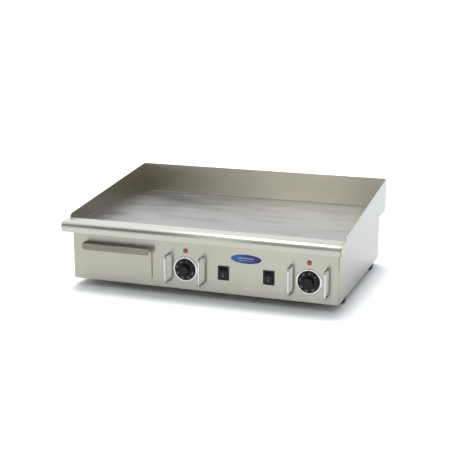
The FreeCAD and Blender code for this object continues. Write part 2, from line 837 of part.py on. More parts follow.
def build_bezel(name, x):
    inside = DIAL_RADIUS + 0.6
    rim_height = 1.2
    rim_break = 0.3
    slope = 2
    inner_break = 0.8
    inner_height = 2.0
    profile = [
        (0, inside),
        (0, bezel_radius),
        (-rim_height, bezel_radius - rim_break),
        (-bezel_height, bezel_radius - slope),
        (-bezel_height, inside + inner_break),
        (-inner_height, inside),
    ]
    turned_about_y(f"knob_bezel_{name}", x, KNOB_Z, profile)


thermostat_half_width = 21
thermostat_half_height = 18
thermostat_depth = 34
spindle_depth = 14
spindle_end_gap = 0.5
thermostat_screw_depth = 6


def build_thermostat(name, x):
    width = (x - thermostat_half_width, x + thermostat_half_width)
    height = (KNOB_Z - thermostat_half_height, KNOB_Z + thermostat_half_height)
    case = box(width, (CASING_SHEET, CASING_SHEET + thermostat_depth), height)
    bore_length = spindle_depth + 1
    bore = rod("y", x, CASING_SHEET, KNOB_Z, SPINDLE_RADIUS + RUNNING_GAP, bore_length)
    hole_radius = thermostat_screw + RUNNING_GAP
    hole_depth = thermostat_screw_depth + 1
    holes = [
        rod("y", x + offset, CASING_SHEET, KNOB_Z, hole_radius, hole_depth)
        for offset in both_sides(thermostat_screw_offset)
    ]
    keep(cut(case, fuse(bore, *holes)), f"thermostat_{name}")
    spindle_length = CASING_SHEET + spindle_depth + bore_end - spindle_end_gap
    spindle = rod("y", x, spindle_end_gap - bore_end, KNOB_Z, SPINDLE_RADIUS, spindle_length)
    keep(spindle, f"spindle_{name}")


def build_thermostat_screws():
    head = 1.6
    screws = []
    for _, x in knob_places:
        for offset in both_sides(thermostat_screw_offset):
            shank = CASING_SHEET + thermostat_screw_depth
            screws.append(pan_screw("y", x + offset, -head, KNOB_Z, thermostat_screw, head, shank))
    group("thermostat_screws", screws)


lamp_bodies = []
lamp_rings = []


def build_lamp(name, x):
    """Lens with its stem through the panel, the bulb holder in it and the ring behind."""
    stem_end = 12
    lens_height = 5
    lens_inside = 2
    lens_rim = 1.2
    lens_wall = 1.5
    shoulder = (-3.4, LAMP_RADIUS - 1.8)
    crown = (-4.6, LAMP_RADIUS - 4)
    holder_length = 8
    ring_height = 3
    ring_width = 0.5
    lens = [
        (-lens_inside, 0),
        (-lens_height, 0),
        crown,
        shoulder,
        (-lens_rim, LAMP_RADIUS),
        (0, LAMP_RADIUS),
        (0, lamp_stem),
        (stem_end, lamp_stem),
        (stem_end, lamp_stem - lens_wall),
        (-lens_inside, lamp_stem - lens_wall),
    ]
    turned_about_y(f"lamp_lens_{name}", x, LAMP_Z, lens)
    inner = lamp_stem - lens_wall - RUNNING_GAP
    bulb = [
        (0, 0),
        (0, inner),
        (stem_end, inner),
        (stem_end, lamp_stem),
        (stem_end + holder_length, lamp_stem),
        (stem_end + holder_length, 0),
    ]
    lamp_bodies.append(turned_about_y(f"lamp_body_{name}", x, LAMP_Z, bulb, grouped=True))
    ring = [
        (CASING_SHEET, lamp_stem + RUNNING_GAP),
        (CASING_SHEET, LAMP_RADIUS + ring_width),
        (CASING_SHEET + ring_height, LAMP_RADIUS + ring_width),
        (CASING_SHEET + ring_height, lamp_stem + RUNNING_GAP),
    ]
    lamp_rings.append(turned_about_y(f"lamp_ring_{name}", x, LAMP_Z, ring, grouped=True))


switch_rim = 2.2
switch_depth = 24
recess_depth = 13
recess_half_height = 14.6
pivot_y = 3
pivot_radius = 1.5
pivot_length = 1.4


def build_switch(name, x):
    body = new_body(f"switch_frame_{name}", x=x, z=KNOB_Z)
    half_w = SWITCH_WIDTH / 2
    half_h = SWITCH_HEIGHT / 2
    half_recess = rocker_width / 2 + FIT_GAP
    frame = rectangle((-half_w, half_w), (-half_h, half_h), 1)
    behind = rectangle(
        (-switch_body_half_width, switch_body_half_width),
        (-switch_body_half_height, switch_body_half_height),
    )
    recess = rectangle((-half_recess, half_recess), (-recess_half_height, recess_half_height))
    pad(body, "XZ_Plane", -switch_rim, 0, frame)
    pad(body, "XZ_Plane", 0, switch_depth, behind)
    pocket(body, "XZ_Plane", -switch_rim - 1, recess_depth, recess)
    pivot = [(pivot_y, 0, pivot_radius + RUNNING_GAP)]
    reach = half_recess + pivot_length
    pocket(body, "YZ_Plane", -reach, reach, circles=pivot)
    build_rocker(name, x)


def build_rocker(name, x):
    """Rocker with its upper half pressed in and its ridge above the pivot."""
    half = rocker_width / 2
    half_height = 13.2
    face_foot = -3.2
    pressed_edge = 2
    edge_rear = 4
    heel_rear = 7.5
    heel_half = 3
    ridge = [(-5.4, 4), (-5.2, 5.2), (-4.4, 5.8)]
    body = new_body(f"rocker_{name}", x=x, z=KNOB_Z)
    outline = [
        (face_foot, -half_height),
        *ridge,
        (pressed_edge, half_height),
        (edge_rear, half_height),
        (heel_rear, heel_half),
        (heel_rear, -heel_half),
        (edge_rear, -half_height),
    ]
    pad(body, "YZ_Plane", -half, half, outline)
    reach = half + pivot_length
    pad(body, "YZ_Plane", -reach, reach, circles=[(pivot_y, 0, pivot_radius)])


def build_badge():
    ellipse = doc.addObject("Part::Ellipse", "BadgeOutline")
    bind(ellipse, "MajorRadius", BADGE_LENGTH / 2)
    bind(ellipse, "MinorRadius", BADGE_HEIGHT / 2)
    ellipse.Placement = FreeCAD.Placement(V(0, 0, 0), FreeCAD.Rotation(V(1, 0, 0), 90))
    place(ellipse, CONTROL_X, 0, BADGE_Z)
    badge = doc.addObject("Part::Extrusion", "Badge")
    badge.Base = ellipse
    badge.DirMode = "Custom"
    badge.Dir = V(0, -1, 0)
    badge.LengthFwd = 1.0
    badge.Solid = True
    keep(badge, "badge")


guard_end = 9


def build_guard(number, x):
    body = new_body(f"knob_guard_{number}", x=x)
    points = [
        (guard_end, GUARD_HIGH),
        (-GUARD_REACH, GUARD_HIGH, GUARD_BEND),
        (-GUARD_REACH, GUARD_LOW, GUARD_BEND),
        (guard_end, GUARD_LOW),
    ]
    path = fill_sketch(body, "YZ_Plane", 0, [points], closed=False)
    section = fill_sketch(body, "XZ_Plane", guard_end, circles=[(0, GUARD_HIGH, GUARD_ROD)])
    pipe = body.newObject("PartDesign::AdditivePipe", "Pipe")
    pipe.Profile = section
    pipe.Spine = (path, [f"Edge{number}" for number in range(1, 6)])


def build_guard_nuts():
    nuts = []
    for x in guard_places:
        for z in (GUARD_LOW, GUARD_HIGH):
            nuts.append(nut("y", x, CASING_SHEET, z, GUARD_ROD, NUT_HEIGHT))
    group("guard_nuts", nuts)


# ---------------------------------------------------------------- grease drawer

front_rear = FIT_GAP + 0.1
tray_half = half_opening - TRAY_SIDE
tray_low = DRAWER_LOW + DRAWER_LAP * 2
tray_corner = 4
rail_beyond_tray = 8


def build_drawer_front():
    half = DRAWER_WIDTH / 2
    inner_half = half - CASING_SHEET
    inner_corner = DRAWER_CORNER - CASING_SHEET
    body = new_body("drawer_front", x=DRAWER_X)
    outline = [
        (-half, DRAWER_LOW, DRAWER_CORNER),
        (half, DRAWER_LOW, DRAWER_CORNER),
        (half, drawer_top),
        (-half, drawer_top),
    ]
    pan = [
        (-inner_half, DRAWER_LOW + CASING_SHEET, inner_corner),
        (inner_half, DRAWER_LOW + CASING_SHEET, inner_corner),
        (inner_half, drawer_top - CASING_SHEET),
        (-inner_half, drawer_top - CASING_SHEET),
    ]
    bend = HANDLE_LEAN - HANDLE_REACH
    lip = [
        (-DRAWER_PROUD, drawer_top),
        (bend, drawer_top),
        (-HANDLE_REACH, drawer_top - HANDLE_DROP),
        (CASING_SHEET - HANDLE_REACH, drawer_top - HANDLE_DROP),
        (bend + CASING_SHEET, drawer_top - CASING_SHEET),
        (-DRAWER_PROUD, drawer_top - CASING_SHEET),
    ]
    pad(body, "XZ_Plane", -DRAWER_PROUD, -front_rear, outline)
    pocket(body, "XZ_Plane", CASING_SHEET - DRAWER_PROUD, 1, pan)
    pad(body, "YZ_Plane", -half, half, lip)

    def lip_corner(edge):
        middle = edge.CenterOfMass
        low = abs(middle.z - (drawer_top - HANDLE_DROP).value) < 0.01
        outer = abs(abs(middle.x) - half.value) < 0.01
        return low and outer and edge.Length < CASING_SHEET.value * 1.1

    def lip_bend(edge):
        middle = edge.CenterOfMass
        high = abs(middle.z - drawer_top.value) < 0.01
        return runs_along(edge, V(1, 0, 0)) and high and abs(middle.y - bend.value) < 0.01

    round_edges(body, HANDLE_CORNER, lip_corner)
    round_edges(body, HANDLE_BEND, lip_bend)


def tray_top():
    return stud_end - TRAY_HEADROOM


def build_drawer_tray():
    body = new_body("drawer_tray", x=DRAWER_X)
    front = CASING_SHEET - DRAWER_PROUD
    top = tray_top()
    wall = INNER_SHEET
    outside = rectangle((-tray_half, tray_half), (front, TRAY_LENGTH), tray_corner)
    inside_width = (wall - tray_half, tray_half - wall)
    inside = rectangle(inside_width, (front + wall, TRAY_LENGTH - wall), tray_corner - 1)
    pad(body, "XY_Plane", tray_low, top, outside)
    pocket(body, "XY_Plane", tray_low + wall, top + 1, inside)


def build_drawer_rails():
    """Folded rails: foot on the base plate, web, ledge under the tray and lip beside it."""
    ledge_top = tray_low - FIT_GAP
    wall = INNER_SHEET
    lip_inside = tray_half + FIT_GAP * 2
    lip_outside = lip_inside + wall
    web = lip_outside - RAIL_LEDGE
    foot = web - RAIL_LEDGE
    for name, side in (("left", -1), ("right", 1)):
        body = new_body(f"drawer_rail_{name}", x=DRAWER_X)
        outline = [
            (foot * side, base_top),
            (web * side, base_top),
            (web * side, ledge_top - wall),
            (lip_outside * side, ledge_top - wall),
            (lip_outside * side, ledge_top + RAIL_LIP),
            (lip_inside * side, ledge_top + RAIL_LIP),
            (lip_inside * side, ledge_top),
            ((web - wall) * side, ledge_top),
            ((web - wall) * side, base_top + wall),
            (foot * side, base_top + wall),
        ]
        pad(body, "XZ_Plane", CASING_SHEET + FIT_GAP, TRAY_LENGTH + rail_beyond_tray, outline)


# ---------------------------------------------------------------- heating under the plate

plate_under = BODY_HEIGHT
element_z = plate_under - ELEMENT_RADIUS - RUNNING_GAP
bar_top = element_z - ELEMENT_RADIUS - RUNNING_GAP
bar_low = bar_top - CLAMP_BAR
insulation_top = bar_low - NUT_HEIGHT - FIT_GAP * 2
insulation_low = insulation_top - INSULATION
shield_low = insulation_low - INNER_SHEET
stud_end = shield_low - NUT_HEIGHT - 2
stud_offset = LEG_PITCH * 1.75
zones = [("left", -ZONE_X), ("right", ZONE_X)]
element_rear_y = BODY_DEPTH - ELEMENT_REAR
heated_length = element_rear_y - ELEMENT_FRONT
bar_places = [ELEMENT_FRONT + heated_length * share for share in (0.25, 0.75)]
pocket_half_length = 30
pocket_half_width = 7
bulb_y = ELEMENT_FRONT + heated_length / 2
terminal_length = 12
terminal_radius = 2


def stud_places():
    return [(x + offset, y) for _, x in zones for offset in both_sides(stud_offset) for y in bar_places]


def build_element(name, x):
    body = new_body(f"heating_element_{name}", x=x, z=element_z)
    legs = [LEG_PITCH * step for step in (-1.5, -0.5, 0.5, 1.5)]
    near = ELEMENT_FRONT + 8
    points = [
        (legs[0], ELEMENT_FRONT),
        (legs[0], element_rear_y, element_bend),
        (legs[1], element_rear_y, element_bend),
        (legs[1], near, element_bend),
        (legs[2], near, element_bend),
        (legs[2], element_rear_y, element_bend),
        (legs[3], element_rear_y, element_bend),
        (legs[3], ELEMENT_FRONT),
    ]
    path = fill_sketch(body, "XY_Plane", 0, [points], closed=False)
    end_circle = [(legs[0], 0, ELEMENT_RADIUS)]
    section = fill_sketch(body, "XZ_Plane", ELEMENT_FRONT, circles=end_circle)
    pipe = body.newObject("PartDesign::AdditivePipe", "Pipe")
    pipe.Profile = section
    edge_count = 2 * len(points) - 3
    pipe.Spine = (path, [f"Edge{number}" for number in range(1, edge_count + 1)])
    ends = [(legs[0], 0, terminal_radius), (legs[3], 0, terminal_radius)]
    pad(body, "XZ_Plane", ELEMENT_FRONT - terminal_length, ELEMENT_FRONT + 1, circles=ends)


def build_clamps():
    bars = []
    nuts = []
    beyond_stud = 10
    half_bar = stud_offset + beyond_stud
    for _, x in zones:
        for y in bar_places:
            width = (y - CLAMP_WIDTH / 2, y + CLAMP_WIDTH / 2)
            bar = box((x - half_bar, x + half_bar), width, (bar_low, bar_top))
            holes = [
                rod("z", x + offset, y, bar_low, STUD_RADIUS + FIT_GAP, CLAMP_BAR)
                for offset in both_sides(stud_offset)
            ]
            bars.append(cut(bar, fuse(*holes)))
    studs = []
    for x, y in stud_places():
        studs.append(rod("z", x, y, stud_end, STUD_RADIUS, plate_under - stud_end))
        nuts.append(nut("z", x, y, bar_low - NUT_HEIGHT, STUD_RADIUS, NUT_HEIGHT))
        nuts.append(nut("z", x, y, shield_low - NUT_HEIGHT, STUD_RADIUS, NUT_HEIGHT))
    group("clamp_bars", bars)
    group("plate_studs", studs)
    group("stud_nuts", nuts)


def build_insulation():
    side_cover = 25
    front_cover = 6
    rear_cover = 14
    half = ZONE_X + stud_offset + side_cover
    depths = (ELEMENT_FRONT - front_cover, element_rear_y + rear_cover)
    pad_block = box((-half, half), depths, (insulation_low, insulation_top))
    pad_holes = [
        rod("z", x, y, insulation_low, STUD_RADIUS + 1, INSULATION) for x, y in stud_places()
    ]
    keep(cut(pad_block, fuse(*pad_holes)), "insulation_pad")
    shield = box((-half, half), depths, (shield_low, insulation_low))
    shield_holes = [
        rod("z", x, y, shield_low, STUD_RADIUS + FIT_GAP, INNER_SHEET) for x, y in stud_places()
    ]
    keep(cut(shield, fuse(*shield_holes)), "heat_shield")


sensor_pockets = []


def build_sensor(name, zone_x):
    pocket_height = 9
    bulb_excess = 15
    bulb_ahead = 10
    pocket_low = plate_under - pocket_height
    bulb_z = plate_under - pocket_height / 2
    width = (zone_x - pocket_half_width, zone_x + pocket_half_width)
    depths = (bulb_y - pocket_half_length, bulb_y + pocket_half_length)
    block = box(width, depths, (pocket_low, plate_under))
    bore_length = pocket_half_length * 2
    bore = rod("y", zone_x, depths[0], bulb_z, BULB_RADIUS + RUNNING_GAP, bore_length)
    sensor_pockets.append(cut(block, bore))
    bulb_start = bulb_y - pocket_half_length - bulb_ahead
    bulb = rod("y", zone_x, bulb_start, bulb_z, BULB_RADIUS, bore_length + bulb_excess)
    keep(bulb, f"sensor_bulb_{name}")
    return zone_x, bulb_start, bulb_z


def bent_tube(points, radius, bend):
    """A round tube along straight runs joined by tangent arcs."""
    edges = []
    start = points[0]
    for before, corner, after in zip(points, points[1:], points[2:]):
        backward = (before - corner).normalize()
        forward = (after - corner).normalize()
        half_angle = backward.getAngle(forward) / 2
        reach = bend / math.tan(half_angle)
        first = corner + backward * reach
        last = corner + forward * reach
        centre = corner + (backward + forward).normalize() * (bend / math.sin(half_angle))
        middle = centre + (corner - centre).normalize() * bend
        edges.append(Part.LineSegment(start, first).toShape())
        edges.append(Part.Arc(first, middle, last).toShape())
        start = last
    edges.append(Part.LineSegment(start, points[-1]).toShape())
    section = Part.Circle(points[0], points[1] - points[0], radius).toShape()
    return Part.Wire(edges).makePipeShell([Part.Wire([section])], True, True)


def build_capillary(name, x, sensor):
    """Thin tube from the thermostat over the tray and under the clamp bars to the sensor bulb."""
    clearance = 6
    run_in = 14
    bend = 4
    rear = CASING_SHEET + thermostat_depth
    exit_z = KNOB_Z - thermostat_half_height / 2
    riser_y = gutter_rear + (ELEMENT_FRONT - terminal_length - gutter_rear) / 2
    over_tray = tray_top() + clearance
    under_bars = bar_low - CAPILLARY_RADIUS * 2.5
    rise_y = sensor[1] - run_in
    route = [
        (x, rear, exit_z),
        (x, riser_y, exit_z),
        (x, riser_y, over_tray),
        (sensor[0], riser_y, over_tray),
        (sensor[0], riser_y, under_bars),
        (sensor[0], rise_y, under_bars),
        (sensor[0], rise_y, sensor[2]),
        sensor,
    ]
    points = [V(*(as_size(part).value for part in point)) for point in route]
    tube = doc.addObject("Part::Feature", "Capillary")
    tube.Shape = bent_tube(points, CAPILLARY_RADIUS.value, bend)
    place(tube)
    keep(tube, f"capillary_{name}")


# ---------------------------------------------------------------- cord entry

gland_thread = GLAND_BORE + 2.5
gland_inside = 10


def build_gland():
    back = BODY_DEPTH
    inner_end = back - CASING_SHEET - gland_inside
    flange = gland_thread + 4
    cap = gland_thread + 2.5
    flange_end = back + 5
    cap_break = 2
    profile = [
        (inner_end, GLAND_BORE),
        (inner_end, gland_thread),
        (back, gland_thread),
        (back, flange),
        (flange_end, flange),
        (flange_end, cap),
        (back + GLAND_REACH - cap_break, cap),
        (back + GLAND_REACH, gland_thread),
        (back + GLAND_REACH, GLAND_BORE),
    ]
    turned_about_y("cable_gland", GLAND_X, GLAND_Z, profile)
    nut_y = back - CASING_SHEET - NUT_HEIGHT
    nut_radius = gland_thread + 5
    body = hexagon("y", GLAND_X, nut_y, GLAND_Z, nut_radius, NUT_HEIGHT)
    hole = rod("y", GLAND_X, nut_y, GLAND_Z, gland_thread + RUNNING_GAP, NUT_HEIGHT)
    keep(cut(body, hole), "gland_nut")


def build_terminal_block():
    half_width = 30
    depth = 25
    height = 22
    hole_radius = 2.5
    hole_height = 12
    pitch = 12
    front = BODY_DEPTH - 75
    width = (GLAND_X - half_width, GLAND_X + half_width)
    block = box(width, (front, front + depth), (base_top, base_top + height))
    holes = []
    for step in (-2, -1, 0, 1, 2):
        hole_x = GLAND_X + pitch * step
        hole_z = base_top + hole_height
        holes.append(rod("y", hole_x, front - 1, hole_z, hole_radius, depth + 2))
    keep(cut(block, fuse(*holes)), "terminal_block")


# ---------------------------------------------------------------- assembly

build_plate()
build_side_guard("splash_left", -TOP_WIDTH / 2, -half_inside)
build_side_guard("splash_right", half_inside, TOP_WIDTH / 2)
build_rear_guard()
build_nose()
build_gutter()
build_spout()
build_front_casing()
build_rear_casing()
build_seam_straps()
build_base_plate()
build_feet()
build_base_screws()
for side_name, knob_x in knob_places:
    build_knob(side_name, knob_x)
    build_bezel(side_name, knob_x)
    build_thermostat(side_name, knob_x)
    build_lamp(side_name, knob_x)
build_thermostat_screws()
group("lamp_bodies", lamp_bodies)
group("lamp_rings", lamp_rings)
for side_name, switch_x in switch_places:
    build_switch(side_name, switch_x)
build_badge()
for guard_number, guard_x in enumerate(guard_places, 1):
    build_guard(guard_number, guard_x)
build_guard_nuts()
build_drawer_front()
build_drawer_tray()
build_drawer_rails()
for (zone_name, zone_middle), (_, knob_x) in zip(zones, knob_places):
    build_element(zone_name, zone_middle)
    build_capillary(zone_name, knob_x, build_sensor(zone_name, zone_middle))
group("sensor_pockets", sensor_pockets)
build_clamps()
build_insulation()
build_gland()
build_terminal_block()
doc.recompute()


# ---------------------------------------------------------------- checks and export

def check_document():
    for thing in doc.Objects:
        if "Invalid" in thing.State or "Error" in thing.State:
            raise RuntimeError(f"{thing.Label} ({thing.Name}) failed: {thing.State}")
        if thing.TypeId == "PartDesign::Pocket":
            if thing.Shape.Volume > thing.BaseFeature.Shape.Volume - 0.1:
                body = thing.getParentGeoFeatureGroup().Label
                raise RuntimeError(f"{thing.Name} in {body} cuts nothing")
    for piece in pieces:
        if piece.Shape.isNull() or not piece.Shape.isValid() or piece.Shape.Volume <= 0:
            raise RuntimeError(f"{piece.Label} has no valid shape")


check_document()
os.makedirs("parts", exist_ok=True)
for piece in pieces:
    piece.Shape.exportStep(f"parts/{piece.Label}.step")
print(len(pieces), "sub-parts written")
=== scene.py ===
import json
import math

import bmesh
import bpy
from mathutils import Matrix, Vector


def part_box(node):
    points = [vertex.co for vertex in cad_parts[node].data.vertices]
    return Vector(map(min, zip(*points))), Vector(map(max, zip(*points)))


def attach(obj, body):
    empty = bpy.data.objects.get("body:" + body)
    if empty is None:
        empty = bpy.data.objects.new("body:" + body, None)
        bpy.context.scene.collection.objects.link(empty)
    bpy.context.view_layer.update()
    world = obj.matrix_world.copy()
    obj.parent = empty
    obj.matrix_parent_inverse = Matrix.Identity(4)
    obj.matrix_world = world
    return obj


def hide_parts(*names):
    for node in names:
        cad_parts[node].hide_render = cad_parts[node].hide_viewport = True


# Looks of a two-zone electric countertop griddle, in metres, in the frame of its CAD model:
# +X to the right along the control panel, +Y to the rear, +Z up.

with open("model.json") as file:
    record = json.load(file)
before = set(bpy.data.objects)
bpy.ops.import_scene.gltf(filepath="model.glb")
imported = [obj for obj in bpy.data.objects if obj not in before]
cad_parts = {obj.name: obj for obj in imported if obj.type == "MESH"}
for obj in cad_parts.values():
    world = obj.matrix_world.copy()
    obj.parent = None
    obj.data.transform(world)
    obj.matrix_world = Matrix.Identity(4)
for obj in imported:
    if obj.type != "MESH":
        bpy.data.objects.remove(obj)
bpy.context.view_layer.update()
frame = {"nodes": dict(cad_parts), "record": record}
nodes = frame["nodes"]

MM = 0.001
BODY = "griddle_body"


# ---------------------------------------------------------------- material nodes

def add_node(tree, kind, inputs, **settings):
    """A node with its settings; each input is a constant or another node's output."""
    node = tree.nodes.new(kind)
    for setting, value in settings.items():
        setattr(node, setting, value)
    for socket, value in inputs.items():
        if isinstance(value, bpy.types.NodeSocket):
            tree.links.new(value, node.inputs[socket])
        else:
            node.inputs[socket].default_value = value
    return node


def set_stops(node, stops):
    """Fill a colour ramp with stops, each one (position, colour)."""
    elements = node.color_ramp.elements
    while len(elements) < len(stops):
        elements.new(0.5)
    for element, (position, color) in zip(elements, stops):
        element.position = position
        element.color = (*color, 1)


class Surface:
    """A material under construction: nodes are added one by one in front of its shader."""

    def __init__(self, name, roughness=0.5, metallic=0.0, **constants):
        self.material = bpy.data.materials.new(name)
        self.material.use_nodes = True
        self.tree = self.material.node_tree
        self.shader = self.tree.nodes["Principled BSDF"]
        self.shader.inputs["Roughness"].default_value = roughness
        self.shader.inputs["Metallic"].default_value = metallic
        for socket, value in constants.items():
            self.shader.inputs[socket.replace("_", " ")].default_value = value
        self.coordinates = self.tree.nodes.new("ShaderNodeTexCoord")

    def add(self, kind, inputs, **settings):
        return add_node(self.tree, kind, inputs, **settings)

    def axis(self, name, source="Object"):
        """One coordinate of the object's own place, or of its normal."""
        parts = self.add("ShaderNodeSeparateXYZ", {0: self.coordinates.outputs[source]})
        return parts.outputs[name]

    def place(self, scale=(1, 1, 1), shift=(0, 0, 0)):
        """The object's own coordinates, shifted and then stretched."""
        moved = self.add(
            "ShaderNodeVectorMath",
            {0: self.coordinates.outputs["Object"], 1: shift},
            operation="SUBTRACT",
        )
        stretched = self.add(
            "ShaderNodeVectorMath", {0: moved.outputs[0], 1: scale}, operation="MULTIPLY"
        )
        return stretched.outputs[0]

    def noise(self, scale, detail=3.0, roughness=0.5, shift=(0, 0, 0)):
        """Cloudy noise from 0 to 1; scale gives its cells per metre along each axis."""
        node = self.add(
            "ShaderNodeTexNoise",
            {"Vector": self.place(scale, shift), "Scale": 1.0, "Detail": detail, "Roughness": roughness},
        )
        return node.outputs["Fac"]

    def math(self, operation, first, second=0.0):
        return self.add("ShaderNodeMath", {0: first, 1: second}, operation=operation).outputs[0]

    def spread(self, value, low, high, to_low, to_high):
        """A value from low to high moved to the range to_low to to_high."""
        inputs = {
            "Value": value, "From Min": low, "From Max": high, "To Min": to_low, "To Max": to_high,
        }
        return self.add("ShaderNodeMapRange", inputs).outputs["Result"]

    def ramp(self, value, *stops):
        """Colours by value; each stop is (position, colour)."""
        node = self.add("ShaderNodeValToRGB", {"Fac": value})
        set_stops(node, stops)
        return node.outputs["Color"]

    def mix(self, share, first, second, blend="MIX"):
        """Two colours, or a colour and a shade, blended by share."""
        node = self.add("ShaderNodeMix", {}, data_type="RGBA", blend_type=blend)
        for socket, value in ((0, share), (6, first), (7, second)):
            if isinstance(value, bpy.types.NodeSocket):
                self.tree.links.new(value, node.inputs[socket])
            elif socket == 0:
                node.inputs[socket].default_value = value
            else:
                node.inputs[socket].default_value = (*value, 1)
        return node.outputs[2]

    def use(self, socket, value):
        self.tree.links.new(value, self.shader.inputs[socket])

    def bump(self, height, depth):
        """Relief of the given depth in metres."""
        node = self.add("ShaderNodeBump", {"Height": height, "Distance": depth, "Strength": 1.0})
        self.use("Normal", node.outputs["Normal"])


# Cells of noise per metre, along and across the brushing of sheet steel.
FINE_GRAIN = (7, 1400)
COARSE_GRAIN = (3, 160)
SIDE_FACING = 0.6
# Turns of the highlight from the direction that runs round the chosen axis.
ACROSS = 0.25
ALONG = 0.0


def sideways(surface):
    """1 on faces that look left or right, 0 on the others."""
    facing = surface.math("ABSOLUTE", surface.axis("X", "Normal"))
    return surface.math("GREATER_THAN", facing, SIDE_FACING)


def grain(surface, along, across):
    """Brushed streaks along X, or along Y on faces that look left or right."""
    lengthwise = surface.noise((along, across, across), 3)
    crosswise = surface.noise((across, along, across), 3)
    return surface.mix(sideways(surface), lengthwise, crosswise)


def stretch_gloss(surface, axis, share, turn):
    """Highlights stretched by share, along or across the direction that runs round an axis."""
    tangent = surface.add("ShaderNodeTangent", {}, direction_type="RADIAL", axis=axis)
    surface.use("Tangent", tangent.outputs["Tangent"])
    surface.shader.inputs["Anisotropic"].default_value = share
    surface.shader.inputs["Anisotropic Rotation"].default_value = turn


def brushed_steel(name, color, roughness, streak=0.03, side_shade=None, smear=0.82, shade_line=None):
    """Brushed sheet: fine streaks in gloss, tone and relief over broad cloudy handling marks.

    side_shade gives the faces that look left or right a colour of their own, as painted shade;
    in front of held, a place along Y, the sheet is darker and warmer with mottled painted shade.
    """
    surface = Surface(name, roughness, 1.0)
    stretch_gloss(surface, "Z", smear, ACROSS)
    fine = grain(surface, *FINE_GRAIN)
    coarse = grain(surface, *COARSE_GRAIN)
    handled = surface.noise((5, 5, 5), 4, 0.6, (0.37, 0.11, 0.23))
    lines = surface.mix(0.5, fine, coarse)
    tone = surface.spread(lines, 0.3, 0.7, 1 - streak, 1 + streak)
    haze = surface.spread(handled, 0.3, 0.7, 0.98, 1.02)
    shade = surface.math("MULTIPLY", tone, haze)
    # Painted shade: faces that look left or right get a colour of their own instead of the sheet's.
    if side_shade is not None:
        color = surface.mix(sideways(surface), color, side_shade)
    sheet = surface.mix(1.0, color, shade, "MULTIPLY")
    # Painted shade: in front of the given place along Y the sheet is darkened and warmed, with a mottle.
    if shade_line is not None:
        shade_share = surface.spread(surface.axis("Y"), shade_line, shade_line - 2 * MM, 0, 1)
        mottled = surface.spread(surface.noise((40, 40, 40), 3), 0.3, 0.7, 0.62, 0.72)
        shade_colour = surface.mix(mottled, (0, 0, 0), (1.0, 0.96, 0.89))
        sheet = surface.mix(shade_share, sheet, surface.mix(1.0, sheet, shade_colour, "MULTIPLY"))
    surface.use("Base Color", sheet)
    gloss = surface.spread(lines, 0.25, 0.75, roughness - 0.02, roughness + 0.02)
    wiped = surface.spread(handled, 0.3, 0.7, -0.006, 0.006)
    surface.use("Roughness", surface.math("ADD", gloss, wiped))
    surface.bump(fine, 0.001 * MM)
    return surface.material


def plate_steel():
    """Ground cooking plate: long grinding lines, oil film, worn patches and painted shade that darkens
    its front.
    """
    surface = Surface("plate_steel", 0.3, 1.0)
    stretch_gloss(surface, "X", 0.3, ALONG)
    lines = surface.noise((4, 420, 420), 4, 0.6)
    smear = surface.noise((5, 22, 4), 3, 0.55, (0.1, 0.3, 0))
    patch = surface.noise((9, 34, 4), 1.5, 0.4, (0.73, 0.2, 0))
    # Painted shade: the colour darkens towards the front of the plate and lightens a little at the rear.
    front_shade_from, front_shade_to = -80 * MM, 160 * MM
    shade = surface.spread(lines, 0.25, 0.75, 0.95, 1.04)
    for layer in (
        surface.spread(smear, 0.35, 0.65, 0.93, 1.04),
        surface.spread(patch, 0.52, 0.66, 1.0, 0.82),
        surface.spread(surface.axis("Y"), front_shade_from, front_shade_to, 0.74, 1.07),
    ):
        shade = surface.math("MULTIPLY", shade, layer)
    surface.use("Base Color", surface.mix(1.0, (0.40, 0.395, 0.395), shade, "MULTIPLY"))
    oiled = surface.spread(smear, 0.35, 0.65, 0.29, 0.36)
    ground = surface.spread(lines, 0.25, 0.75, -0.02, 0.02)
    surface.use("Roughness", surface.math("ADD", oiled, ground))
    surface.bump(lines, 0.01 * MM)
    return surface.material


def bright_metal(name, color, roughness):
    """Plated or turned metal: faint cloudy tarnish and fine turning or drawing marks."""
    surface = Surface(name, roughness, 1.0)
    cloud = surface.noise((90, 90, 90), 3)
    fine = surface.noise((1800, 1800, 1800), 2)
    surface.use("Base Color", surface.mix(
        surface.spread(cloud, 0.35, 0.7, 0, 1), color, tuple(part * 0.86 for part in color)
    ))
    surface.use("Roughness", surface.spread(cloud, 0.3, 0.7, roughness, roughness + 0.09))
    surface.bump(fine, 0.004 * MM)
    return surface.material


def moulded_plastic(name, color, roughness, grain_size=2600, depth=0.02 * MM, dust=0.06, shine=0.5):
    """Moulded plastic or rubber: fine pebble texture and a trace of dust."""
    surface = Surface(name, roughness, 0.0, Specular_IOR_Level=shine)
    pebble = surface.noise((grain_size,) * 3, 2)
    cloud = surface.noise((140, 140, 140), 4, 0.6)
    dusty = tuple(part + dust * (0.6 - part) for part in color)
    surface.use("Base Color", surface.mix(surface.spread(cloud, 0.4, 0.75, 0, 1), color, dusty))
    surface.use("Roughness", surface.spread(cloud, 0.3, 0.7, roughness - 0.05, roughness + 0.08))
    surface.bump(pebble, depth)
    return surface.material


def badge_enamel():
    """Domed enamel that runs from light blue at the left to violet at the right."""
    low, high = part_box("badge")
    surface = Surface("badge_enamel", 0.18, 0.0, Specular_IOR_Level=0.35)
    share = surface.spread(surface.axis("X"), low.x, high.x, 0, 1)
    cloud = surface.noise((60, 60, 60), 3)
    wavering = surface.math("ADD", share, surface.spread(cloud, 0.3, 0.7, -0.03, 0.03))
    surface.use("Base Color", surface.ramp(
        wavering,
        (0.0, (0.010, 0.15, 0.37)),
        (0.35, (0.010, 0.08, 0.29)),
        (0.65, (0.010, 0.020, 0.17)),
        (1.0, (0.016, 0.010, 0.11)),
    ))
    surface.use("Roughness", surface.spread(cloud, 0.3, 0.7, 0.14, 0.24))
    surface.bump(surface.noise((700, 700, 700), 2), 0.004 * MM)
    return surface.material


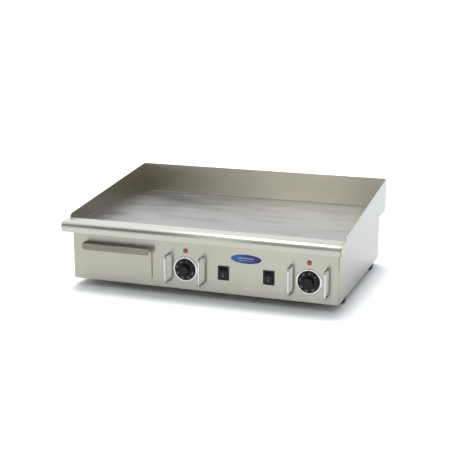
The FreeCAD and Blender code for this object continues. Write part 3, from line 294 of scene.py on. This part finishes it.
def lamp_plastic(node):
    """Clear orange-red lens, brightest in the middle and dark red at its rim."""
    low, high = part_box(node)
    middle = (low + high) / 2
    half = (high.x - low.x) / 2
    surface = Surface(f"lamp_plastic_{node}", 0.16, 0.0, Coat_Weight=0.5, Coat_Roughness=0.05)
    stretch = (1 / half, 0.0, 1 / half)
    radius = surface.add(
        "ShaderNodeVectorMath", {0: surface.place(stretch, middle)}, operation="LENGTH"
    ).outputs["Value"]
    mottle = surface.noise((900, 900, 900), 2)
    edge = surface.math("ADD", radius, surface.spread(mottle, 0.3, 0.7, -0.05, 0.05))
    surface.use("Base Color", surface.ramp(
        edge,
        (0.0, (0.50, 0.075, 0.015)),
        (0.45, (0.42, 0.055, 0.010)),
        (0.8, (0.30, 0.035, 0.008)),
        (1.0, (0.14, 0.015, 0.006)),
    ))
    surface.bump(mottle, 0.01 * MM)
    return surface.material


def ceramic_wool():
    """Matted white fibre of the pad under the heating elements."""
    surface = Surface("insulation_wool", 0.95)
    fibre = surface.noise((500, 900, 500), 5, 0.7)
    surface.use("Base Color", surface.ramp(fibre, (0.3, (0.55, 0.52, 0.45)), (0.7, (0.85, 0.82, 0.76))))
    surface.bump(fibre, 0.6 * MM)
    return surface.material


def printed_ink(name, color):
    """Ink printed on plastic, slightly worn."""
    surface = Surface(name, 0.55)
    mottled = surface.noise((1500, 1500, 1500), 3)
    faded = tuple(part * 0.75 for part in color)
    surface.use("Base Color", surface.mix(surface.spread(mottled, 0.45, 0.7, 0, 1), color, faded))
    surface.bump(mottled, 0.004 * MM)
    return surface.material


def studio_floor():
    """Pale matt floor with a hardly visible cloudiness."""
    surface = Surface("studio_floor", 0.9)
    cloud = surface.noise((2, 2, 2), 2)
    surface.use("Base Color", surface.ramp(cloud, (0.3, (0.86, 0.86, 0.86)), (0.7, (0.88, 0.88, 0.88))))
    return surface.material


WARM_STEEL = (0.41, 0.395, 0.34)
JET_BLACK = (0.006, 0.006, 0.006)
MATERIALS = {
    "plate_steel": plate_steel(),
    "guard_steel": brushed_steel("guard_steel", (0.275, 0.28, 0.265), 0.26),
    # The casing's faces that look left or right carry a darker, cooler painted shade.
    "casing_steel": brushed_steel("casing_steel", WARM_STEEL, 0.30, side_shade=(0.30, 0.30, 0.28)),
    "inner_steel": brushed_steel("inner_steel", (0.50, 0.50, 0.49), 0.38, streak=0.12),
    "fastener_steel": bright_metal("fastener_steel", (0.66, 0.66, 0.67), 0.25),
    "guard_chrome": bright_metal("guard_chrome", (0.56, 0.56, 0.55), 0.06),
    "bezel_chrome": bright_metal("bezel_chrome", (0.86, 0.86, 0.87), 0.33),
    "foot_rubber": moulded_plastic("foot_rubber", (0.012, 0.012, 0.012), 0.7, 1500, 0.05 * MM, 0.03),
    "knob_plastic": moulded_plastic("knob_plastic", JET_BLACK, 0.42, dust=0.006, shine=0.25),
    "switch_plastic": moulded_plastic("switch_plastic", JET_BLACK, 0.3, dust=0.006, shine=0.28),
    "badge_enamel": badge_enamel(),
    "thermostat_metal": bright_metal("thermostat_metal", (0.60, 0.60, 0.60), 0.35),
    "capillary_copper": bright_metal("capillary_copper", (0.72, 0.40, 0.26), 0.3),
    "element_sheath": bright_metal("element_sheath", (0.16, 0.15, 0.14), 0.5),
    "insulation_wool": ceramic_wool(),
    "inner_plastic": moulded_plastic("inner_plastic", (0.74, 0.72, 0.66), 0.5),
    "gland_plastic": moulded_plastic("gland_plastic", (0.02, 0.02, 0.02), 0.45),
}
# Nodes whose look differs from the rest of their material slot.
VARIANTS = {
    "splash_left": brushed_steel("tinted_steel", (0.47, 0.435, 0.35), 0.24),
    "front_nose": brushed_steel("nose_steel", (0.45, 0.435, 0.38), 0.33, smear=0.4),
    "lamp_rings": moulded_plastic("lamp_rim", (0.13, 0.028, 0.012), 0.35, dust=0.01),
    "lamp_lens_left": lamp_plastic("lamp_lens_left"),
    "lamp_lens_right": lamp_plastic("lamp_lens_right"),
    # The handle lip of the drawer front is darkened with mottled painted shade.
    "drawer_front": brushed_steel(
        "handle_shaded_steel", WARM_STEEL, 0.30, shade_line=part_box("drawer_front")[0].y + 17 * MM
    ),
}
VARIANTS["splash_back"] = VARIANTS["splash_left"]
SEAM_STEEL = brushed_steel("seam_steel", (0.30, 0.285, 0.24), 0.42, streak=0.1)
PALE_INK = printed_ink("pale_ink", (0.30, 0.30, 0.29))
DARK_INK = printed_ink("dark_ink", (0.015, 0.015, 0.015))
MARK_INK = printed_ink("mark_ink", (0.55, 0.66, 0.80))


# ---------------------------------------------------------------- CAD nodes

SOFT_EDGE = {
    "plate_steel": 0.6 * MM,
    "guard_steel": 0.35 * MM,
    "casing_steel": 0.3 * MM,
    "foot_rubber": 0.8 * MM,
    "switch_plastic": 0.35 * MM,
    "guard_chrome": 0.2 * MM,
}
DEFAULT_EDGE = 0.2 * MM
SHARP_ANGLE = math.radians(32)


def soften(thing, width):
    """Join the facets' corners and break the sharp edges inwards."""
    weld = thing.modifiers.new("Joined corners", "WELD")
    weld.merge_threshold = 0.001 * MM
    edge = thing.modifiers.new("Broken edges", "BEVEL")
    edge.width = width
    edge.segments = 2
    edge.limit_method = "ANGLE"
    edge.angle_limit = SHARP_ANGLE
    edge.harden_normals = True
    edge.use_clamp_overlap = True


def finish_nodes():
    """Give every CAD node its material, its material slot and broken edges."""
    slots = {part["node"]: part["material_slot"] for part in frame["record"]["subparts"]}
    for name, thing in nodes.items():
        slot = slots[name]
        thing.data.materials.clear()
        thing.data.materials.append(VARIANTS[name] if name in VARIANTS else MATERIALS[slot])
        soften(thing, SOFT_EDGE.get(slot, DEFAULT_EDGE))


finish_nodes()


# ---------------------------------------------------------------- piece makers

def new_piece(name, points, faces, material, body, edge=None):
    """A shaded piece riding a body; an edge width breaks its sharp edges."""
    mesh = bpy.data.meshes.new(name)
    mesh.from_pydata([tuple(point) for point in points], [], faces)
    shaped = bmesh.new()
    shaped.from_mesh(mesh)
    bmesh.ops.recalc_face_normals(shaped, faces=shaped.faces)
    shaped.to_mesh(mesh)
    shaped.free()
    mesh.shade_smooth()
    thing = bpy.data.objects.new(name, mesh)
    bpy.context.scene.collection.objects.link(thing)
    mesh.materials.append(material)
    if edge is not None:
        soften(thing, edge)
    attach(thing, body)
    return thing


def loft(rings):
    """Points and faces of closed rings joined one after another, with both ends closed."""
    count = len(rings[0])
    points = [point for ring in rings for point in ring]
    faces = []
    for start in range(0, count * (len(rings) - 1), count):
        for index in range(count):
            after = (index + 1) % count
            faces.append((start + index, start + after, start + count + after, start + count + index))
    faces.append(tuple(reversed(range(count))))
    faces.append(tuple(range(count * (len(rings) - 1), count * len(rings))))
    return points, faces


def round_angles(count):
    return [2 * math.pi * index / count for index in range(count)]


def ring_about_y(middle, offset, radius, count, wave=0.0, waves=0):
    """A ring about the Y axis through middle; waves cut shallow hollows into it."""
    points = []
    for angle in round_angles(count):
        reach = radius - wave * abs(math.sin(angle * waves / 2))
        points.append(Vector((
            middle.x + reach * math.sin(angle), middle.y + offset, middle.z + reach * math.cos(angle),
        )))
    return points


def ring_about_z(middle, offset, radius, count):
    points = []
    for angle in round_angles(count):
        points.append(Vector((
            middle.x + radius * math.sin(angle), middle.y + radius * math.cos(angle), middle.z + offset,
        )))
    return points


def facing_middle(low, high, y):
    """The middle of a box seen from the front, at the depth y."""
    return Vector(((low.x + high.x) / 2, y, (low.z + high.z) / 2))


def plate_mark(outline, origin, right, up, thickness):
    """Points and faces of a thin flat print; the outline is in the plane of right and up."""
    out = right.cross(up).normalized()
    front = [origin + right * x + up * y + out * thickness for x, y in outline]
    rear = [origin + right * x + up * y for x, y in outline]
    return loft([rear, front])


def join_parts(parts):
    """One list of points and faces from several."""
    points, faces = [], []
    for more_points, more_faces in parts:
        start = len(points)
        points += more_points
        faces += [tuple(index + start for index in face) for face in more_faces]
    return points, faces


def arc_outline(outer, inner, start, end, steps):
    """The outline of a ring sector; angles run clockwise from the top."""
    angles = [start + (end - start) * step / steps for step in range(steps + 1)]
    far = [(outer * math.sin(angle), outer * math.cos(angle)) for angle in angles]
    near = [(inner * math.sin(angle), inner * math.cos(angle)) for angle in reversed(angles)]
    return far + near


def print_marks(name, marks, ink, body):
    """Flat printed marks as one piece riding a body."""
    printed = new_piece(name, *join_parts(marks), ink, body)
    printed.data.shade_flat()


ORIGIN = Vector((0, 0, 0))
RIGHT = Vector((1, 0, 0))
UP = Vector((0, 0, 1))
FRONT = Vector((0, -1, 0))
PRINT = 0.03 * MM


# ---------------------------------------------------------------- thermostat knobs

MARK_STEP = math.radians(43.7)
MARK_COUNT = 7
DEGREES_PER_MARK = 50
NUMERAL_SIZE = 5.0 * MM
NUMERAL_BOLDNESS = 0.018
OFF_ANGLE = {"left": math.radians(13), "right": math.radians(50)}


def numeral(text, size):
    """A flat printed number as points and faces, centred, in the plane of X and Z."""
    curve = bpy.data.curves.new("numeral", "FONT")
    curve.body = text
    curve.size = size
    curve.align_x = "CENTER"
    curve.align_y = "CENTER"
    curve.extrude = PRINT / 2
    curve.offset = NUMERAL_BOLDNESS * size
    curve.resolution_u = 3
    lettering = bpy.data.objects.new("numeral", curve)
    bpy.context.scene.collection.objects.link(lettering)
    bpy.context.view_layer.update()
    mesh = lettering.to_mesh()
    points = [Vector((vertex.co.x, -vertex.co.z, vertex.co.y)) for vertex in mesh.vertices]
    faces = [tuple(face.vertices) for face in mesh.polygons]
    lettering.to_mesh_clear()
    bpy.data.objects.remove(lettering)
    bpy.data.curves.remove(curve)
    return points, faces


def upright_bar(half_width, foot, head):
    """The outline of a narrow mark on the vertical line, from foot to head."""
    return [(-half_width, foot), (half_width, foot), (half_width, head), (-half_width, head)]


def build_knob(side):
    """A fluted grip on a flat dial, with the dial's off line, numerals and ticks."""
    node = f"knob_{side}"
    low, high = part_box(node)
    middle = facing_middle(low, high, high.y)
    radius = (high.x - low.x) / 2
    tip = low.y - high.y
    bore = 3.05 * MM
    face = -2.6 * MM
    # Offset from the back of the dial, radius there, and depth of the flutes.
    profile = [
        (-12.4 * MM, bore, 0.0),
        (0.0, bore, 0.0),
        (0.0, radius - 0.6 * MM, 0.0),
        (-0.5 * MM, radius, 0.0),
        (-1.7 * MM, radius, 0.0),
        (-2.3 * MM, radius - 0.5 * MM, 0.0),
        (face, radius - 1.3 * MM, 0.0),
        (face, 15.6 * MM, 0.0),
        (face - 0.4 * MM, 14.8 * MM, 0.2 * MM),
        (face - 1.4 * MM, 14.5 * MM, 0.7 * MM),
        (tip + 2.2 * MM, 14.1 * MM, 0.7 * MM),
        (tip + 0.8 * MM, 13.5 * MM, 0.4 * MM),
        (tip + 0.15 * MM, 12.5 * MM, 0.0),
        (tip, 11.6 * MM, 0.0),
        (tip + 0.35 * MM, 10.6 * MM, 0.0),
    ]
    flutes = 30
    rings = [
        ring_about_y(middle, offset, reach, flutes * 8, depth, flutes)
        for offset, reach, depth in profile
    ]
    knob = new_piece(f"{node}_grip", *loft(rings), MATERIALS["knob_plastic"], node, 0.15 * MM)
    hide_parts(node)

    centre = middle + Vector((0, face - PRINT, 0))
    reach = radius - 5.6 * MM
    off_line = upright_bar(0.45 * MM, reach - 2.6 * MM, radius - 1.6 * MM)
    tick = upright_bar(0.2 * MM, radius - 2.6 * MM, radius - 1.5 * MM)
    marks = []
    for number in range(MARK_COUNT):
        turned = Matrix.Rotation(OFF_ANGLE[side] - MARK_STEP * number, 3, "Y")
        if number == 0:
            shapes = [plate_mark(off_line, ORIGIN, RIGHT, UP, PRINT)]
        else:
            points, faces = numeral(str(number * DEGREES_PER_MARK), NUMERAL_SIZE)
            shapes = [
                plate_mark(tick, ORIGIN, RIGHT, UP, PRINT),
                ([point + UP * reach for point in points], faces),
            ]
        for points, faces in shapes:
            marks.append(([centre + turned @ point for point in points], faces))
    print_marks(f"dial_print_{side}", marks, PALE_INK, node)


def build_bezel_pointer(side):
    """A dark notch printed at the top of the bezel ring, against which the dial is read."""
    low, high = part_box(f"knob_bezel_{side}")
    middle = facing_middle(low, high, low.y)
    outer = (high.x - low.x) / 2
    half_width = 1.3 * MM
    head = outer - 1.4 * MM
    wedge = [(-half_width, head), (0, outer - 4.6 * MM), (half_width, head)]
    marks = [plate_mark(wedge, middle, RIGHT, UP, PRINT)]
    print_marks(f"bezel_pointer_{side}", marks, DARK_INK, BODY)


# ---------------------------------------------------------------- switches, lamps and badge

def build_switch_marks(side):
    """A bar for on above a ring for off, printed on the rocker's lower face."""
    node = f"rocker_{side}"
    low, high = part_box(node)
    foot = Vector(((low.x + high.x) / 2, low.y + 2.2 * MM, low.z))
    head = Vector((foot.x, low.y, (low.z + high.z) / 2 + 4 * MM))
    up = (head - foot).normalized()
    outlines = [upright_bar(0.4 * MM, 11.4 * MM, 15.6 * MM)]
    ring_height = 5.6 * MM
    for start in (0, math.pi):
        half_ring = arc_outline(2.2 * MM, 1.5 * MM, start, start + math.pi, 12)
        outlines.append([(x, z + ring_height) for x, z in half_ring])
    marks = [plate_mark(outline, foot, RIGHT, up, PRINT) for outline in outlines]
    print_marks(f"switch_print_{side}", marks, PALE_INK, node)


def build_lens(side):
    """A pilot lens with a ribbed skirt and a domed face cut into small facets."""
    node = f"lamp_lens_{side}"
    low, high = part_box(node)
    middle = facing_middle(low, high, high.y)
    radius = (high.x - low.x) / 2
    depth = high.y - low.y
    # Shares of the depth, of the radius, and of the radius taken by the ribs.
    profile = (
        (0.0, 1.0, 0.0), (0.30, 1.0, 0.03), (0.55, 0.97, 0.05), (0.80, 0.82, 0.06),
        (0.93, 0.62, 0.05), (0.99, 0.36, 0.03), (1.0, 0.14, 0.0),
    )
    ribs = 12
    rings = [
        ring_about_y(middle, -depth * share, radius * reach, ribs * 4, radius * wave, ribs)
        for share, reach, wave in profile
    ]
    lens = new_piece(f"{node}_cut", *loft(rings), VARIANTS[node], BODY, 0.1 * MM)
    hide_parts(node)


def build_badge():
    """A domed oval badge with a raised rim and a plain row of dots over a thin line."""
    low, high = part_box("badge")
    middle = facing_middle(low, high, high.y)
    half_wide = (high.x - low.x) / 2
    half_high = (high.z - low.z) / 2
    depth = high.y - low.y - PRINT * 2

    def oval(share, offset):
        return [
            middle + Vector((
                half_wide * share * math.sin(angle), -offset, half_high * share * math.cos(angle),
            ))
            for angle in round_angles(120)
        ]

    def dome(share):
        """Height of the dome at a share of the way from its middle to its rim."""
        return depth * (0.55 + 0.45 * (1 - share * share))

    rings = [oval(1.0, 0), oval(1.0, depth * 0.35), oval(0.992, depth * 0.5), oval(0.975, depth * 0.55)]
    rings += [oval(share, dome(share)) for share in (0.96, 0.9, 0.8, 0.65, 0.5, 0.3, 0.1)]
    badge = new_piece("badge_dome", *loft(rings), MATERIALS["badge_enamel"], BODY)
    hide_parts("badge")

    marks = []
    dot_pitch, dot_height = 4.6 * MM, 2.0 * MM
    dot = arc_outline(1.35 * MM, 0.0, 0, math.pi * 2, 20)[:20]
    for step in range(-4, 5):
        share = math.hypot(step * dot_pitch / half_wide, dot_height / half_high)
        centre = middle + Vector((step * dot_pitch, 0, dot_height))
        centre.y -= dome(share)
        marks.append(plate_mark(dot, centre, RIGHT, UP, PRINT))
    line_step, line_foot, line_head = 1.6 * MM, -3.9 * MM, -3.3 * MM
    for step in range(-12, 12):
        left, right = step * line_step, (step + 1) * line_step
        share = math.hypot((left + right) / 2 / half_wide, (line_foot + line_head) / 2 / half_high)
        strip = [(left, line_foot), (right, line_foot), (right, line_head), (left, line_head)]
        start = middle - Vector((0, dome(share) - PRINT / 2, 0))
        marks.append(plate_mark(strip, start, RIGHT, UP, PRINT))
    print_marks("badge_marks", marks, MARK_INK, BODY)


# ---------------------------------------------------------------- seams, gland and screws

BEAD_PITCH = 4 * MM
BEAD_STEPS = 6
BEAD_HOLLOW = 0.32
BEAD_UNEVEN = 0.05
BEAD_LIFT = 0.02 * MM


def bead(name, start, end, out, up, radius, seed):
    """A weld bead laid into an inside corner, slightly uneven along its length."""
    count = max(int((end - start).length / BEAD_PITCH), 2)
    rings = []
    for index in range(count + 1):
        place = start.lerp(end, index / count)
        uneven = 1 + BEAD_UNEVEN * math.sin(index * 0.7 + seed) * math.sin(index * 0.23 + 2 * seed)
        ring = [place + (out + up) * BEAD_LIFT]
        for step in range(BEAD_STEPS + 1):
            angle = math.pi / 2 * step / BEAD_STEPS
            reach = radius * uneven * (1 - BEAD_HOLLOW * math.sin(2 * angle))
            ring.append(place + out * reach * math.cos(angle) + up * reach * math.sin(angle))
        rings.append(ring)
    laid = new_piece(name, *loft(rings), SEAM_STEEL, BODY)


def build_seams():
    """Beads round the plate on three sides, and up the guard's two rear corners."""
    plate_low, plate_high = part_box("griddle_plate")
    back_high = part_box("splash_back")[1]
    left, right, top = plate_low.x, plate_high.x, plate_high.z
    front = plate_low.y + 4 * MM
    rear = min(plate_high.y, back_high.y)
    brink = back_high.z - 3 * MM
    rear_left, rear_right = Vector((left, rear, top)), Vector((right, rear, top))
    around = 1.3 * MM
    bead("seam_left", Vector((left, front, top)), rear_left, RIGHT, UP, around, 1)
    bead("seam_right", Vector((right, front, top)), rear_right, -RIGHT, UP, around, 2)
    bead("seam_rear", rear_left, rear_right, FRONT, UP, around, 3)
    upright = 1.1 * MM
    bead("corner_left", rear_left, Vector((left, rear, brink)), FRONT, RIGHT, upright, 4)
    bead("corner_right", rear_right, Vector((right, rear, brink)), FRONT, -RIGHT, upright, 5)


def build_gland():
    """A cable gland with a hexagonal body, a ribbed cap and a rubber lip round the entry."""
    low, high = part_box("cable_gland")
    middle = facing_middle(low, high, low.y)
    flange = (high.x - low.x) / 2
    length = high.y - low.y
    count = 144

    def ring(offset, radius, ribs=0):
        return ring_about_y(middle, offset, radius, count, 0.6 * MM, ribs)

    def hexagon(offset, radius):
        points = ring(offset, radius)
        for point, angle in zip(points, round_angles(count)):
            shrink = math.cos(math.pi / 6) / math.cos(angle % (math.pi / 3) - math.pi / 6)
            point.x = middle.x + (point.x - middle.x) * shrink
            point.z = middle.z + (point.z - middle.z) * shrink
        return points

    bore, core, thread = 5.5 * MM, 7.5 * MM, 8.0 * MM
    thread_end = 11.2 * MM
    cap_ribs = 36
    rings = [ring(2.0 * MM, bore), ring(0, bore), ring(0, core)]
    offset = 0.5 * MM
    while offset < thread_end - 1 * MM:
        rings += [ring(offset, thread), ring(offset + 0.35 * MM, core)]
        offset += 0.9 * MM
    rings += [
        ring(thread_end, thread),
        ring(thread_end, flange),
        ring(thread_end + 0.6 * MM, flange),
        hexagon(thread_end + 0.8 * MM, flange),
        hexagon(thread_end + 4.6 * MM, flange),
        ring(thread_end + 5.0 * MM, 9.6 * MM),
        ring(thread_end + 5.4 * MM, 10.5 * MM, cap_ribs),
        ring(length - 3.4 * MM, 10.3 * MM, cap_ribs),
        ring(length - 1.2 * MM, 9.0 * MM),
        ring(length - 0.2 * MM, 7.6 * MM),
        ring(length, 7.0 * MM),
        ring(length, bore),
        ring(length - 6 * MM, bore),
    ]
    gland = new_piece("gland_body", *loft(rings), MATERIALS["gland_plastic"], BODY, 0.12 * MM)
    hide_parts("cable_gland")


def node_islands(name):
    """Boxes of a node's separate solids, as (lowest corner, highest corner)."""
    shaped = bmesh.new()
    shaped.from_mesh(nodes[name].data)
    bmesh.ops.remove_doubles(shaped, verts=shaped.verts, dist=0.001 * MM)
    waiting = set(shaped.verts)
    boxes = []
    while waiting:
        queue = [waiting.pop()]
        found = []
        while queue:
            vertex = queue.pop()
            found.append(vertex.co.copy())
            for edge in vertex.link_edges:
                other = edge.other_vert(vertex)
                if other in waiting:
                    waiting.remove(other)
                    queue.append(other)
        boxes.append(tuple(
            Vector(pick(point[axis] for point in found) for axis in range(3)) for pick in (min, max)
        ))
    shaped.free()
    return sorted(boxes, key=lambda pair: (round(pair[0].x, 4), round(pair[0].y, 4)))


THREAD_PITCH = 0.8 * MM


def screw_rings(low, high, shank, head_height):
    """Rings of one screw, from the floor of its cross recess to the end of its shank."""
    middle = Vector(((low.x + high.x) / 2, (low.y + high.y) / 2, low.z))
    head = (high.x - low.x) / 2
    slot = head * 0.52
    count = 96

    def disc(offset, radius):
        return ring_about_z(middle, offset, radius, count)

    def cross(offset, reach):
        points = []
        for angle in round_angles(count):
            arm = abs(math.cos(angle * 2)) ** 6
            radius = reach * (0.32 + 0.68 * arm)
            points.append(middle + Vector((
                radius * math.sin(angle), radius * math.cos(angle), offset,
            )))
        return points

    rings = [
        cross(head_height * 0.55, slot * 0.55), cross(0.12 * MM, slot * 0.9), cross(0.0, slot),
        disc(0.0, head * 0.66), disc(head_height * 0.22, head * 0.9), disc(head_height * 0.6, head),
        disc(head_height, head), disc(head_height, shank),
    ]
    end = high.z - low.z
    offset = head_height + THREAD_PITCH / 2
    while offset < end - 0.9 * MM:
        rings += [disc(offset, shank), disc(offset + THREAD_PITCH / 2, shank * 0.86)]
        offset += THREAD_PITCH
    return rings + [disc(end, shank * 0.8)]


def build_screws(name, shank, head_height):
    """Pan-head screws seen from below: a rounded head with a cross recess on a threaded shank."""
    screws = new_piece(
        f"{name}_cut",
        *join_parts([loft(screw_rings(*box, shank, head_height)) for box in node_islands(name)]),
        MATERIALS["fastener_steel"], BODY,
    )
    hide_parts(name)


for side in ("left", "right"):
    build_knob(side)
    build_bezel_pointer(side)
    build_switch_marks(side)
    build_lens(side)
build_badge()
build_seams()
build_gland()
build_screws("base_screws", 2.0 * MM, 2.4 * MM)
build_screws("foot_screws", 2.5 * MM, 3.0 * MM)


# ---------------------------------------------------------------- stage, light and camera

# Brightness of the surroundings near the horizon by angle from the front, positive to the right.
AROUND = (
    (-180, 1.20), (-150, 1.70), (-110, 1.60), (-75, 1.20), (-55, 0.25), (-27, 0.04), (-24, 0.10),
    (-21, 0.60), (-18, 1.60), (-14.5, 5.00), (-13.2, 4.20), (-12.2, 0.03), (-4, 0.03), (12, 0.60),
    (110, 0.80), (150, 0.60), (180, 1.20),
)
OVERHEAD = 1.45
# Heights run from 0 at the horizon to 1 straight up. The surroundings start at this share of
# their brightness, reach it all at FULL_FROM, and give way to the ceiling above CEILING_FROM.
HORIZON_SHARE = 0.75
FULL_FROM = 0.3
CEILING_FROM, CEILING_FULL = 0.7, 0.96
FLOOR_REACH = 40


def build_stage():
    mesh = bpy.data.meshes.new("floor")
    corners = [
        (x * FLOOR_REACH, y * FLOOR_REACH, 0) for x, y in ((-1, -1), (1, -1), (1, 1), (-1, 1))
    ]
    mesh.from_pydata(corners, [], [(0, 1, 2, 3)])
    floor = bpy.data.objects.new("floor", mesh)
    bpy.context.scene.collection.objects.link(floor)
    mesh.materials.append(studio_floor())


def build_world():
    """Surroundings with a dark front left, a bright and a dark strip in front, and a ceiling."""
    world = bpy.data.worlds.new("studio")
    bpy.context.scene.world = world
    world.use_nodes = True
    tree = world.node_tree
    coordinates = add_node(tree, "ShaderNodeTexCoord", {})
    direction = add_node(tree, "ShaderNodeSeparateXYZ", {0: coordinates.outputs["Generated"]})
    forward = add_node(
        tree, "ShaderNodeMath", {0: direction.outputs["Y"], 1: -1.0}, operation="MULTIPLY"
    )
    angle = add_node(
        tree, "ShaderNodeMath", {0: direction.outputs["X"], 1: forward.outputs[0]},
        operation="ARCTAN2",
    )
    turn = add_node(tree, "ShaderNodeMapRange", {
        "Value": angle.outputs[0], "From Min": -math.pi, "From Max": math.pi,
    })
    around = add_node(tree, "ShaderNodeValToRGB", {"Fac": turn.outputs["Result"]})
    set_stops(around, [
        (0.5 + degrees / 360, (level * 0.975, level, level * 1.02)) for degrees, level in AROUND
    ])
    rise = add_node(tree, "ShaderNodeMapRange", {
        "Value": direction.outputs["Z"],
        "From Min": 0.0, "From Max": FULL_FROM, "To Min": HORIZON_SHARE,
    })
    walls = add_node(tree, "ShaderNodeVectorMath", {
        0: around.outputs["Color"], "Scale": rise.outputs["Result"],
    }, operation="SCALE")
    height = add_node(tree, "ShaderNodeMapRange", {
        "Value": direction.outputs["Z"], "From Min": CEILING_FROM, "From Max": CEILING_FULL,
    })
    sky = add_node(tree, "ShaderNodeMix", {
        "Factor": height.outputs["Result"],
        6: walls.outputs[0],
        7: (OVERHEAD * 0.93, OVERHEAD, OVERHEAD * 1.06, 1),
    }, data_type="RGBA")
    tree.links.new(sky.outputs[2], tree.nodes["Background"].inputs["Color"])


def build_lights():
    """A broad soft overhead light, a little behind the object."""
    data = bpy.data.lights.new("overhead", "SUN")
    data.energy = 2.2
    data.angle = math.radians(24)
    data.color = (1.0, 0.995, 0.98)
    lamp = bpy.data.objects.new("overhead", data)
    bpy.context.scene.collection.objects.link(lamp)
    lamp.rotation_euler = Vector((0.09, -0.13, -1)).to_track_quat("-Z", "Y").to_euler()


CAMERA_AZIMUTH = math.radians(19.75)
CAMERA_ELEVATION = math.radians(14.09)
CAMERA_DISTANCE = 2.715
CAMERA_TARGET = Vector((0.0062, -0.01975, 0.1296))
SENSOR = 36.0
LENS = 80.24


def build_camera():
    """The camera looks at the target from the front, a little to the right and above."""
    data = bpy.data.cameras.new("camera")
    data.sensor_width = SENSOR
    data.lens = LENS
    camera = bpy.data.objects.new("camera", data)
    bpy.context.scene.collection.objects.link(camera)
    level = math.cos(CAMERA_ELEVATION)
    back = Vector((
        math.sin(CAMERA_AZIMUTH) * level,
        -math.cos(CAMERA_AZIMUTH) * level,
        math.sin(CAMERA_ELEVATION),
    ))
    camera.location = CAMERA_TARGET + back * CAMERA_DISTANCE
    camera.rotation_euler = (-back).to_track_quat("-Z", "Y").to_euler()
    bpy.context.scene.camera = camera


build_stage()
build_world()
build_lights()
build_camera()
bpy.context.scene.view_settings.view_transform = "Standard"
